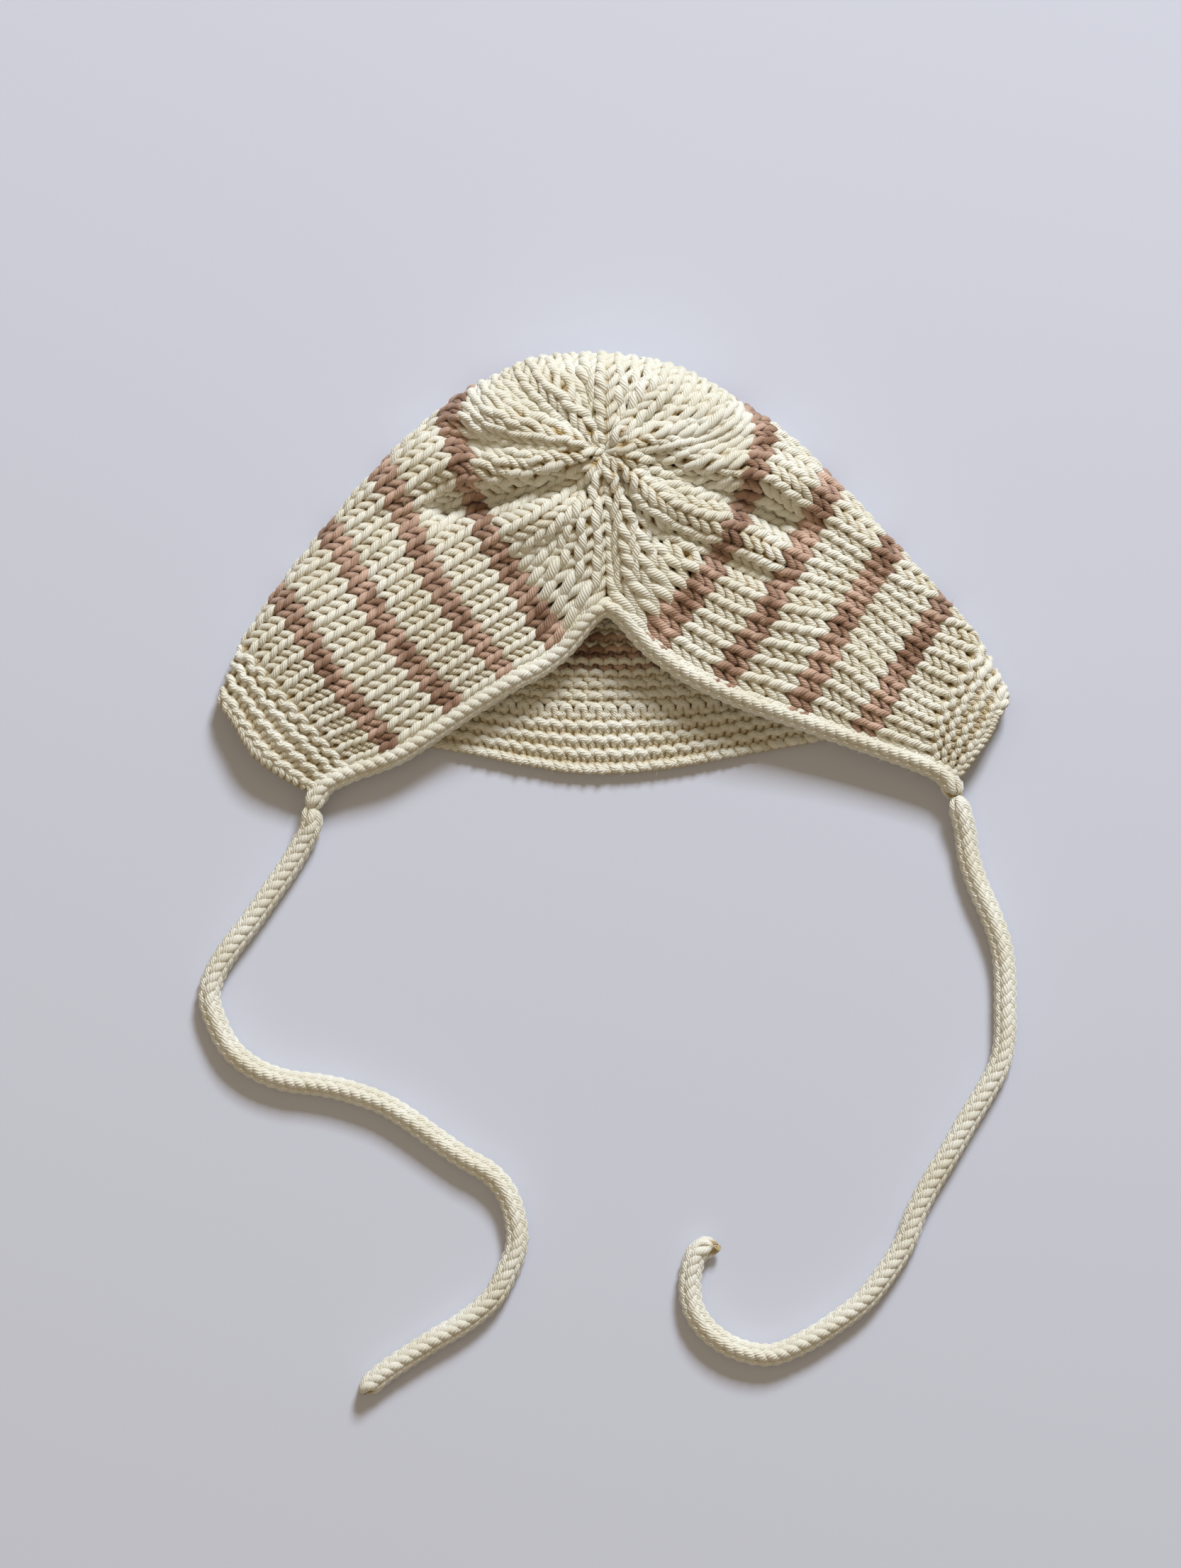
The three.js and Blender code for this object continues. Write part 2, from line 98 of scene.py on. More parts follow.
@dataclass(frozen=True)
class WoolFinish:
    """A wool's colours (sRGB hex) and how it scatters light.

    Attributes:
        name: Name of its material.
        slot: The record's material slot. It is not used.
        light: Colour of the pale fibres.
        deep: Colour of the dark fibres.
        inner: Painted shade: a dark colour mixed in where the yarn lies deep between the loops, standing in
            for the shadow there.
        blotch: Length over which the tone changes along the yarn, in metres.
        roughness: Principled roughness. Wool has no gloss.
        sheen: Principled sheen weight, which gives the eye the soft pale bloom of fuzz seen aslant.
        sheen_roughness: How widely that bloom spreads.
        specular: Principled specular level.
        fibre_spacing: Distance between single fibres on the yarn, in metres.
        fibre_height: Height of the fibres' noise over that of the plies.
        ply_height: Height of the plies, in metres.
        bump_strength: Strength of plies and fibres.
        tone_stops: Places of the deep and the light colour in the slow change of tone.
        shade_heights: Heights off the fabric's middle between which the inner colour, a painted shade, fades,
            in metres.
    """

    name: str
    slot: str
    light: str
    deep: str
    # The inner colour is painted shade, put where the yarn lies deep between the loops.
    inner: str
    blotch: float
    roughness: float = 0.92
    sheen: float = 0.25
    sheen_roughness: float = 0.6
    specular: float = 0.25
    fibre_spacing: float = MM / 2.6
    fibre_height: float = 0.35
    ply_height: float = 0.24 * MM
    bump_strength: float = 0.75
    tone_stops: tuple[float, float] = (0.36, 0.66)
    shade_heights: tuple[float, float] = (0.3 * MM, 1.7 * MM)


# Cream gives the eye a warm off-white, and rose a dusty beige. Each also has a painted shade, straw-coloured
# for cream and dark brown for rose, that darkens the yarn deep between the loops.
FINISHES = {
    Wool.CREAM: WoolFinish("cream wool", "cream_wool", "#f2f1e3", "#e6e2cd", "#b89f66", 0.014),
    Wool.ROSE: WoolFinish("rose-beige wool", "striped_wool", "#d6b69f", "#906d54", "#4a2c18", 0.009),
}


@dataclass(frozen=True)
class LoopShape:
    """The shape of one stitch's loop, as shares of the stitch's width and the course's height.

    Attributes:
        waist: How far the legs draw in at the foot and spread at the head, over the width.
        reach: Half the loop's height, over the course's height.
        lean: How far the head leans to the right, over the width for each course's height.
        depth: Half the distance between the legs' layer and the heads' one, in metres.
        plump: How much thicker the right leg is than the left one, as a share of the yarn's radius.
        bulge: How much further the right leg stands out than the left one, as a share of depth.
        legs: How far the legs stand out, as a share of depth.
        foot: How far the foot lies behind the fabric's middle, as a share of depth.
        head: How far the head does.
        thick: The yarn's thickness over its usual one.
        rows: How many of these courses have the height of a usual one.
    """

    waist: float = 0.25
    reach: float = 0.92
    lean: float = 0.085
    depth: float = 1.05 * MM
    plump: float = -0.05
    bulge: float = -0.32
    legs: float = 1.0
    foot: float = 0.6
    head: float = 1.35
    thick: float = 1.0
    rows: float = 1.0


@dataclass(frozen=True)
class BonnetSize:
    """The sizes that the surface follows. A rise is a share of the way from the neck edge to the crown's
    centre.

    Attributes:
        half_width: Half the width of the bonnet as it lies, in metres.
        half_length: Half its length, in metres.
        crown_height: Height of the wall's middle at the crown's centre, in metres.
        floor_height: Height of the wall's middle where it lies on the floor, in metres.
        fold_bend: How far the wall runs from a side's fold to where it lies flat, in metres.
        crown_bend: Radius at which the crown turns over, in metres.
        crown_reach: Length of the fabric from the crown's centre to the last stripe, in metres.
        band_rise: Rise at which the garter band ends.
        last_stripe_rise: Rise at which the last stripe ends.
        join_reach: Share of the crown's reach at which the two flaps join.
        edging_diameter: Thickness of the face edging, in metres.
        tie_diameter: Thickness of the ties, in metres.
        body_courses: Number of courses from the band to the crown.
    """

    half_width: float = 124 * MM
    half_length: float = 72 * MM
    crown_height: float = 24 * MM
    floor_height: float = 2.1 * MM
    fold_bend: float = 6 * MM
    crown_bend: float = 9 * MM
    crown_reach: float = 50 * MM
    band_rise: float = 0.114
    last_stripe_rise: float = 0.68
    join_reach: float = 0.75
    edging_diameter: float = 7.4 * MM
    tie_diameter: float = 7.4 * MM
    body_courses: int = 24

    @property
    def join_rise(self) -> float:
        """The rise at which the two flaps join."""
        return 1 - self.join_reach * (1 - self.last_stripe_rise)

    @property
    def body_pitch(self) -> float:
        """The rise from one course of the body to the next."""
        return (self.last_stripe_rise - self.band_rise) / (self.body_courses - 1)


# The surface's columns, with their places round the head. The fold columns are the silhouette.
COLUMNS = {
    "edge_left": 0.0, "flap_left": 7.0, "shoulder_left": 13.4, "fold_left": 15.5, "under_left": 17.6,
    "back_left": 24.0, "back_centre": 32.0, "back_right": 40.0, "under_right": 46.4, "fold_right": 48.5,
    "shoulder_right": 50.6, "flap_right": 57.0, "edge_right": 64.0,
}

# Courses from the neck edge to the third stripe: plan places as shares of half the width and length, then
# heights at the face edge, mid flap and beside the fold as shares of the crown's height.
COURSES = (
    {
        "rise": 0.0,
        "edge_left": (-0.757, -0.91), "flap_left": (-0.893, -0.75), "fold_left": (-0.985, -0.505),
        "back_left": (-0.437, -0.7), "back_centre": (-0.027, -0.81), "back_right": (0.42, -0.7),
        "fold_right": (0.987, -0.495), "flap_right": (0.935, -0.677), "edge_right": (0.857, -0.87),
        "heights": (0.26, 0.36, 0.34),
    },
    {
        "rise": 0.114,
        "edge_left": (-0.65, -0.815), "flap_left": (-0.776, -0.565), "fold_left": (-0.925, -0.27),
        "back_left": (-0.437, -0.49), "back_centre": (-0.023, -0.563), "back_right": (0.42, -0.49),
        "fold_right": (0.914, -0.265), "flap_right": (0.815, -0.565), "edge_right": (0.79, -0.795),
        "heights": (0.31, 0.48, 0.44),
    },
    {
        "rise": 0.237,
        "edge_left": (-0.545, -0.75), "flap_left": (-0.695, -0.44), "fold_left": (-0.838, -0.05),
        "back_left": (-0.4, -0.235), "back_centre": (-0.021, -0.31), "back_right": (0.375, -0.235),
        "fold_right": (0.828, -0.09), "flap_right": (0.712, -0.415), "edge_right": (0.612, -0.683),
        "heights": (0.36, 0.6, 0.54),
    },
    {
        "rise": 0.384,
        "edge_left": (-0.384, -0.569), "flap_left": (-0.56, -0.23), "fold_left": (-0.712, 0.225),
        "back_left": (-0.355, 0.06), "back_centre": (-0.02, 0.015), "back_right": (0.32, 0.06),
        "fold_right": (0.7, 0.15), "flap_right": (0.585, -0.16), "edge_right": (0.452, -0.585),
        "heights": (0.44, 0.68, 0.62),
    },
    {
        "rise": 0.532,
        "edge_left": (-0.255, -0.431), "flap_left": (-0.436, -0.035), "fold_left": (-0.578, 0.485),
        "back_left": (-0.3, 0.43), "back_centre": (-0.018, 0.385), "back_right": (0.262, 0.42),
        "fold_right": (0.546, 0.425), "flap_right": (0.42, -0.03), "edge_right": (0.262, -0.4615),
        "heights": (0.54, 0.74, 0.68),
    },
)

# The crown's rails from its centre to the last stripe: compass angle in degrees, reach along the fabric as
# a share of the crown's reach, and distance to the silhouette as one, where the rail turns over.
CROWN_RAILS = {
    "edge_left": (257, 1.25, None), "flap_left": (218, 0.89, None), "shoulder_left": (171, 0.96, None),
    "fold_left": (163, 1.03, 1.0), "under_left": (154, 1.1, 0.92), "back_left": (130, 1.06, 0.73),
    "back_centre": (90, 1.0, 0.6), "back_right": (48, 1.04, 0.68), "under_right": (22, 1.1, 0.87),
    "fold_right": (12, 1.02, 0.99), "shoulder_right": (4, 0.97, None), "flap_right": (-39, 0.94, None),
    "edge_right": (-77, 1.22, None),
}

# The crown's centre, its rings of control places as shares of the way out to the last stripe, and how far
# along the bonnet the flaps join, as a share of half its length.
CROWN_CENTRE = (-0.018, 0.548)
CROWN_RINGS = (0.75, 0.5, 0.25, 0.0)
JOIN_Y = -0.04

# How far the crown sinks, as shares of its height times the square of the way out: all over it, and along
# the line from its centre to the join. Past the join its face edges lie lower, by a share of the first.
CROWN_SINK = 0.26
EDGE_SINK = 0.42
EDGE_DROP = 0.75

# The wale that lies on each side's fold, counted from that side's face edge, at rises from the neck up.
FOLD_RISES = (0.0, 0.114, 0.237, 0.384, 0.532, 0.68, 0.76, 0.84, 1.0)
FOLD_WALES_LEFT = (9.5, 10.7, 12.0, 14.0, 15.4, 17.0, 18.4, 19.6, 19.6)
FOLD_WALES_RIGHT = (7.8, 9.0, 10.5, 12.4, 13.8, 15.2, 16.8, 18.7, 18.7)


@dataclass(frozen=True)
class Fold:
    """A crease or dent of the upper side: a rounded bell across a line, fading past its ends.

    Attributes:
        start: Where it starts, as shares of half the width and length.
        end: Where it ends.
        half_width: Half its width, in metres.
        height: Its height, in metres. A dent has a negative one.
    """

    start: tuple[float, float]
    end: tuple[float, float]
    half_width: float
    height: float


FOLDS = (
    Fold((0.02, 0.51), (0.4, 0.1), 5.0 * MM, 3.4 * MM),
    Fold((0.04, 0.6), (0.46, 0.42), 5.0 * MM, 3.4 * MM),
    Fold((0.1, 0.5), (0.42, 0.28), 5.0 * MM, -5.4 * MM),
    Fold((0.14, 0.22), (0.42, 0.0), 4.6 * MM, -4.4 * MM),
    Fold((0.42, 0.2), (0.78, -0.45), 9.0 * MM, -3.6 * MM),
    Fold((-0.08, 0.56), (-0.36, 0.7), 5.0 * MM, 2.2 * MM),
    Fold((-0.1, 0.5), (-0.4, 0.5), 5.0 * MM, 2.2 * MM),
    Fold((-0.09, 0.41), (-0.42, 0.32), 5.4 * MM, -5.6 * MM),
    Fold((-0.32, 0.6), (-0.44, 0.64), 4.4 * MM, -3.4 * MM),
    Fold((-0.42, 0.28), (-0.62, 0.1), 12.0 * MM, -2.8 * MM),
    Fold((-0.1, 0.3), (-0.3, 0.2), 5.0 * MM, 2.2 * MM),
)

# Softer dents of the cloth, which the solids leave out.
SOFT_DENTS = (
    Fold((0.34, 0.31), (0.5, 0.24), 5.0 * MM, -2.2 * MM),
    Fold((0.5, 0.24), (0.82, -0.25), 6.5 * MM, -2.6 * MM),
    Fold((-0.34, 0.35), (-0.58, 0.27), 6.0 * MM, -3.0 * MM),
)

# The crown's gathers: each ray's bearing in degrees, half its width in degrees and its height in
# millimetres. The ones with a negative height are the valleys between.
GATHERS = (
    (90, 9, 1.2), (113, 6, -1.4), (128, 8, 1.2), (146, 6, -1.5), (160, 8, 1.3), (176, 5, -1.7), (189, 8, 1.3),
    (205, 6, -2.2), (222, 8, 1.4), (240, 6, -1.6), (256, 8, 1.0), (271, 5, -2.0), (286, 8, 1.3),
    (300, 5, -1.8), (313, 8, 1.6), (329, 6, -2.4), (345, 8, 1.6), (2, 6, -1.2), (18, 8, 1.1), (36, 6, -1.4),
    (52, 9, 1.1), (70, 6, -1.4),
)

# The ties' routes, from their corners to their free ends, in millimetres.
TIE_LEFT_ROUTE = (
    (-94.4, -70.6, 6.0), (-94.5, -76.4, 5.2), (-97, -81.5, 4.2), (-101, -88.4, 3.7), (-106.7, -96.7, 3.7),
    (-113.3, -106.2, 3.7), (-119.8, -114.7, 3.7), (-124.7, -122.9, 3.7), (-126.4, -130, 3.7),
    (-124, -138.4, 3.7), (-119.3, -146.7, 3.7), (-111.6, -152.7, 3.7), (-102, -156.2, 3.7),
    (-91.3, -157.6, 3.7), (-81.8, -159.8, 3.7), (-72.2, -163.3, 3.7), (-64, -168.2, 3.7),
    (-55.6, -174.2, 3.7), (-47.3, -180, 3.7), (-38.9, -184.9, 3.7), (-33.6, -190.9, 3.7),
    (-30.7, -199.1, 3.7), (-30.2, -207.6, 3.7), (-33.6, -216.9, 3.7), (-37.8, -224.2, 3.7),
    (-46, -231.3, 3.7), (-55.6, -237.1, 3.7), (-65.1, -243.1, 3.7), (-72.2, -248, 3.7), (-78.2, -253.3, 3.7),
)
TIE_RIGHT_ROUTE = (
    (107.3, -67.6, 6.0), (108.9, -72.8, 5.2), (110.2, -78.5, 4.2), (111.3, -86.2, 3.7), (114.2, -95.1, 3.7),
    (118.2, -104.2, 3.7), (121.6, -114.4, 3.7), (122.7, -123.6, 3.7), (122.7, -132.7, 3.7),
    (122.7, -141.8, 3.7), (121.1, -150.7, 3.7), (116.4, -159.8, 3.7), (110.9, -168.9, 3.7),
    (105.1, -179.1, 3.7), (99.6, -188.2, 3.7), (94.9, -197.3, 3.7), (91.6, -206.2, 3.7),
    (86.9, -214.2, 3.7), (79.1, -224.4, 3.7), (68.9, -232.4, 3.7), (59.8, -238, 3.7), (49.6, -242, 3.7),
    (39.3, -240.4, 3.7), (31.3, -235.8, 3.7), (25.8, -229.1, 3.7), (24, -221.1, 3.7), (25.1, -213.1, 3.7),
    (27.3, -209, 3.7), (32.7, -208, 3.9),
)


def ease(t: np.ndarray) -> np.ndarray:
    """A number eased from 0 to 1 with a level start and end: 3t^2 - 2t^3.

    Args:
        t: Values, cut to the range 0 to 1.

    Returns:
        The eased values.
    """
    s = np.clip(t, 0.0, 1.0)
    return s * s * (3 - 2 * s)


def through(knots: np.ndarray, values: np.ndarray, at: np.ndarray) -> np.ndarray:
    """A smooth curve through values at rising knots: cubic pieces whose slopes are the secants of the knots
    on both sides.

    Args:
        knots: Rising numbers, one for each value.
        values: Values, the first axis running over the knots.
        at: Where to read the curve.

    Returns:
        The values there, the first axis running over the places read.
    """
    knots, values, at = (np.asarray(x, float) for x in (knots, values, at))
    last = len(knots) - 1
    below = np.clip(np.arange(last + 1) - 1, 0, last)
    above = np.clip(np.arange(last + 1) + 1, 0, last)
    shape = (-1,) + (1,) * (values.ndim - 1)
    slopes = (values[above] - values[below]) / (knots[above] - knots[below]).reshape(shape)
    i = np.clip(np.searchsorted(knots, at, side="right") - 1, 0, last - 1)
    span = (knots[i + 1] - knots[i]).reshape(shape)
    t = ((at - knots[i]).reshape(shape)) / span
    return (
        (2 * t**3 - 3 * t**2 + 1) * values[i]
        + (t**3 - 2 * t**2 + t) * span * slopes[i]
        + (3 * t**2 - 2 * t**3) * values[i + 1]
        + (t**3 - t**2) * span * slopes[i + 1]
    )


def unit(vectors: np.ndarray) -> np.ndarray:
    """Vectors scaled to length 1.

    Args:
        vectors: Vectors on the last axis.

    Returns:
        The unit vectors.
    """
    return vectors / np.maximum(np.linalg.norm(vectors, axis=-1, keepdims=True), 1e-12)


class Fabric:
    """The middle of the knitted wall, as a surface over wales (0 to 66 round the head) and rise (0 to 1)."""

    # The grid's places are about 0.3 mm apart, and the strands of the neck edge reach a little below it.
    GRID_ROUND = 1025
    GRID_RISE = 641
    LOWEST_RISE = -0.02

    # Folds show only on the upper side: they fade in over these shares of the crown's height.
    RAISED_FROM = 0.3
    RAISED_OVER = 0.25

    # The gathers grow out of the crown's centre, hold and fade towards the last stripe.
    GATHER_GROWTH = 9 * MM
    GATHER_END = 30 * MM
    GATHER_FADE = 22 * MM
    CENTRE_DIP = -2.4 * MM
    CENTRE_DIP_RADIUS = 5 * MM

    # The grid's last rows shrink to the crown's centre, so they face straight up.
    CENTRE_ROWS = 4

    def __init__(self, size: BonnetSize) -> None:
        """Works out the surface.

        Args:
            size: The bonnet's sizes.
        """
        self.size = size
        self.rises = np.array(
            [course["rise"] for course in COURSES]
            + [size.last_stripe_rise]
            + [1 - ring * (1 - size.last_stripe_rise) for ring in CROWN_RINGS]
        )
        self._build()

    def _plan(self, place: tuple[float, float]) -> np.ndarray:
        """A plan place given in shares, in metres."""
        return np.array([place[0] * self.size.half_width, place[1] * self.size.half_length])

    def _course_point(self, course: dict, name: str) -> list[float]:
        """The control place of one column on a course: the flaps above, the back on the floor, and the
        folds half way up, with a place one bend inside the fold on each side of it.

        Args:
            course: A row of COURSES.
            name: The column's name.

        Returns:
            The place, in metres.
        """
        size = self.size
        kind, side = name.split("_")
        edge, flap, fold = (h * size.crown_height for h in course["heights"])
        low = size.floor_height
        if kind in ("shoulder", "under"):
            corner = self._plan(course[f"fold_{side}"])
            inner = self._plan(course[f"{'flap' if kind == 'shoulder' else 'back'}_{side}"])
            place = corner + (inner - corner) * size.fold_bend / np.linalg.norm(inner - corner)
            return [*place, fold if kind == "shoulder" else low]
        height = {"edge": edge, "flap": flap, "fold": (fold + low) / 2}.get(kind, low)
        return [*self._plan(course[name]), height]

    def _crown_point(self, name: str, share: float) -> list[float]:
        """The control place of one rail of the crown. A length of fabric runs out level, then turns over in
        a half circle of the crown's bend, and comes back below.

        Args:
            name: The rail's column.
            share: How far out along it, 0 at the crown's centre and 1 at the last stripe.

        Returns:
            The place, in metres.
        """
        size = self.size
        angle, reach, silhouette = CROWN_RAILS[name]
        cx, cy = self._plan(CROWN_CENTRE)
        is_edge = name.startswith("edge")
        if is_edge and share <= size.join_reach:
            joint = JOIN_Y * size.half_length
            y = cy + (joint - cy) * share / size.join_reach
            return [cx, y, size.crown_height * (1 - EDGE_SINK * share * share)]
        length = share * reach * size.crown_reach
        out, down = length, 0.0
        if silhouette:
            level = silhouette * size.crown_reach - size.crown_bend
            turn = max(0.0, (length - level) / size.crown_bend)
            out = min(length, level) + size.crown_bend * math.sin(min(turn, math.pi))
            out -= max(0.0, turn - math.pi) * size.crown_bend
            down = (1 - math.cos(min(turn, math.pi))) / 2
        top = size.crown_height * (1 - CROWN_SINK * share * share)
        drop = EDGE_DROP * CROWN_SINK * size.crown_height if is_edge else 0.0
        bearing = math.radians(angle)
        return [
            cx + out * math.cos(bearing),
            cy + out * math.sin(bearing),
            top - down * (top - size.floor_height) - drop,
        ]

    def _column(self, name: str, rises: np.ndarray) -> np.ndarray:
        """One column's curve. A face edge has a corner at the join, so it is curved apart on each side.

        Args:
            name: The column's name.
            rises: Where to read it.

        Returns:
            Its places there.
        """
        size = self.size
        places = [self._course_point(course, name) for course in COURSES]
        places += [self._crown_point(name, share) for share in (1.0, *CROWN_RINGS)]
        places = np.array(places)
        if not name.startswith("edge"):
            return through(self.rises, places, rises)
        joint = int(np.argmin(np.abs(self.rises - size.join_rise)))
        lower = through(self.rises[: joint + 1], places[: joint + 1], rises)
        upper = through(self.rises[joint:], places[joint:], rises)
        return np.where((rises < size.join_rise)[:, None], lower, upper)

    @staticmethod
    def _flap_wales(rise: float) -> tuple[float, float]:
        """The number of wales from each face edge to its side's fold at a rise, left and then right."""
        left, right = (through(FOLD_RISES, wales, [rise]) for wales in (FOLD_WALES_LEFT, FOLD_WALES_RIGHT))
        return float(left[0]), float(right[0])

    def fold_wales(self, rise: float) -> tuple[int, int]:
        """The whole wales nearest to the left and right folds at a rise."""
        left, right = self._flap_wales(rise)
        return round(left), LAST_WALE - round(right)

    def _rounds_of_wales(self, wales: np.ndarray, rise: float) -> np.ndarray:
        """The round of each wale at a rise. Fewer wales lie on the flaps near the neck than near the
        crown, so the wales run aslant over the folds.

        Args:
            wales: Wale numbers.
            rise: The rise at which they are.

        Returns:
            Their rounds, linear between the face edges, the folds and the middle of the back.
        """
        left, right = self._flap_wales(rise)
        half_round, half_wale = LAST_ROUND / 2, LAST_WALE / 2
        rounds = np.array(list(COLUMNS.values()))
        is_left = rounds <= half_round
        near = np.where(is_left, rounds, LAST_ROUND - rounds)
        fold_round = np.where(is_left, COLUMNS["fold_left"], LAST_ROUND - COLUMNS["fold_right"])
        fold_wale = np.where(is_left, left, right)
        on_flap = near * fold_wale / fold_round
        behind = half_wale - (half_wale - fold_wale) * (half_round - near) / (half_round - fold_round)
        knots = np.where(near <= fold_round, on_flap, behind)
        knots = np.where(is_left, knots, LAST_WALE - knots)
        return np.interp(wales, knots, rounds)

    def _relief(self, x: np.ndarray, y: np.ndarray) -> np.ndarray:
        """The height of all folds and dents at plan places: exp(-(distance / half width)^2) for each.

        Args:
            x: Places across the bonnet, in metres.
            y: Places along it, of the same shape.

        Returns:
            Heights, in metres.
        """
        total = np.zeros_like(x)
        for fold in (*FOLDS, *SOFT_DENTS):
            start, end = self._plan(fold.start), self._plan(fold.end)
            run = end - start
            along = ((x - start[0]) * run[0] + (y - start[1]) * run[1]) / (run @ run)
            along = np.clip(along, 0.0, 1.0)
            away = np.hypot(x - start[0] - along * run[0], y - start[1] - along * run[1])
            total += fold.height * np.exp(-((away / fold.half_width) ** 2))
        return total

    def _gathers(self, x: np.ndarray, y: np.ndarray) -> np.ndarray:
        """The height of the crown's gathers: rays from its centre, each exp(-(degrees off / half angle)^2)
        across its bearing and highest part of the way out, and a small dip at the centre.

        Args:
            x: Places across the bonnet, in metres.
            y: Places along it, of the same shape.

        Returns:
            Heights, in metres.
        """
        centre = self._plan(CROWN_CENTRE)
        away = np.hypot(x - centre[0], y - centre[1])
        bearing = np.degrees(np.arctan2(y - centre[1], x - centre[0]))
        fade = ease(away / self.GATHER_GROWTH) * (1 - ease((away - self.GATHER_END) / self.GATHER_FADE))
        total = self.CENTRE_DIP * np.exp(-((away / self.CENTRE_DIP_RADIUS) ** 2))
        for ray, half_angle, height in GATHERS:
            off = (bearing - ray + 180) % 360 - 180
            total += height * MM * fade * np.exp(-((off / half_angle) ** 2))
        return total

    def _build(self) -> None:
        """Works out the places and normals on a fine grid of wales by rises."""
        size = self.size
        wales = np.linspace(0, LAST_WALE, self.GRID_ROUND)
        rises = np.linspace(0, 1, self.GRID_RISE)
        net = np.stack([self._column(name, rises) for name in COLUMNS])
        knots = np.array(list(COLUMNS.values()))
        grid = np.empty((self.GRID_RISE, self.GRID_ROUND, 3))
        for row, rise in enumerate(rises):
            grid[row] = through(knots, net[:, row], self._rounds_of_wales(wales, rise))
        raised = ease((grid[..., 2] / size.crown_height - self.RAISED_FROM) / self.RAISED_OVER)
        grid[..., 2] += raised * self._relief(grid[..., 0], grid[..., 1])
        grid[..., 2] += raised * self._gathers(grid[..., 0], grid[..., 1])
        grid[..., 2] = np.maximum(grid[..., 2], size.floor_height)
        around = np.gradient(grid, axis=1)
        upward = np.gradient(grid, axis=0)
        normals = unit(np.cross(upward, around))
        normals[-self.CENTRE_ROWS :] = (0, 0, 1)
        self.places, self.normals = grid, normals

    def at(self, wale: np.ndarray, rise: np.ndarray) -> tuple[np.ndarray, np.ndarray]:
        """Places and outward normals at wales and rises, linear between the grid's places and a little way
        past the neck edge.

        Args:
            wale: Wale numbers.
            rise: Rises, of the same shape.

        Returns:
            Places and unit normals, with a last axis of 3.
        """
        x = np.clip(wale / LAST_WALE, 0, 1) * (self.GRID_ROUND - 1)
        y = np.clip(rise, self.LOWEST_RISE, 1) * (self.GRID_RISE - 1)
        i = np.minimum(x.astype(int), self.GRID_ROUND - 2)
        j = np.clip(y.astype(int), 0, self.GRID_RISE - 2)
        fx, fy = (x - i)[..., None], (y - j)[..., None]

        def mix(grid: np.ndarray) -> np.ndarray:
            """A grid's values there, linear round the head and then along the rise.

            Args:
                grid: Vectors at the grid's places.

            Returns:
                A vector for each wale and rise.
            """
            low = grid[j, i] * (1 - fx) + grid[j, i + 1] * fx
            high = grid[j + 1, i] * (1 - fx) + grid[j + 1, i + 1] * fx
            return low * (1 - fy) + high * fy

        return mix(self.places), unit(mix(self.normals))


@dataclass
class Tube:
    """Rings of a swept yarn.

    Attributes:
        rings: Places, as rings by sides by 3.
        lengths: The length along the yarn at each ring.
        heights: How far each place stands out from the fabric's middle, as rings by sides.
    """

    rings: np.ndarray
    lengths: np.ndarray
    heights: np.ndarray

    def cut(self, start: int, stop: int) -> "Tube":
        """The rings from start to stop, both included."""
        part = slice(start, stop + 1)
        return Tube(self.rings[part], self.lengths[part], self.heights[part])


def ring_quads(rings: int, sides: int) -> np.ndarray:
    """The faces of a tube: each joins a side of one ring to the same side of the next.

    Args:
        rings: Number of rings.
        sides: Corners of each ring.

    Returns:
        Corner numbers, as faces by 4, ring after ring.
    """
    ring = np.arange(rings - 1)[:, None] * sides
    side = np.arange(sides)[None, :]
    after = (side + 1) % sides
    quads = np.stack([ring + side, ring + sides + side, ring + sides + after, ring + after], axis=-1)
    return quads.reshape(-1, 4)


def sweep(path: np.ndarray, up: np.ndarray, radius: np.ndarray, sides: int, out: np.ndarray) -> Tube:
    """Carries a circle along a path: at each place, radius times cos(a) across plus sin(a) up, for even
    angles a, with the circle's up kept near the surface's normal.

    Args:
        path: Places along the yarn's middle.
        up: The normal of the fabric at each place.
        radius: The yarn's radius at each place.
        sides: Facets round the circle.
        out: How far the path stands out from the fabric's middle.

    Returns:
        The swept rings.
    """
    tangent = unit(np.gradient(path, axis=0))
    across = unit(np.cross(tangent, up))
    over = np.cross(across, tangent)
    angle = 2 * np.pi * np.arange(sides) / sides
    offset = np.cos(angle)[None, :, None] * across[:, None] + np.sin(angle)[None, :, None] * over[:, None]
    rings = path[:, None] + radius[:, None, None] * offset
    steps = np.linalg.norm(np.diff(path, axis=0), axis=1)
    heights = out[:, None] + radius[:, None] * np.sin(angle)[None, :]
    return Tube(rings, np.concatenate([[0.0], np.cumsum(steps)]), heights)


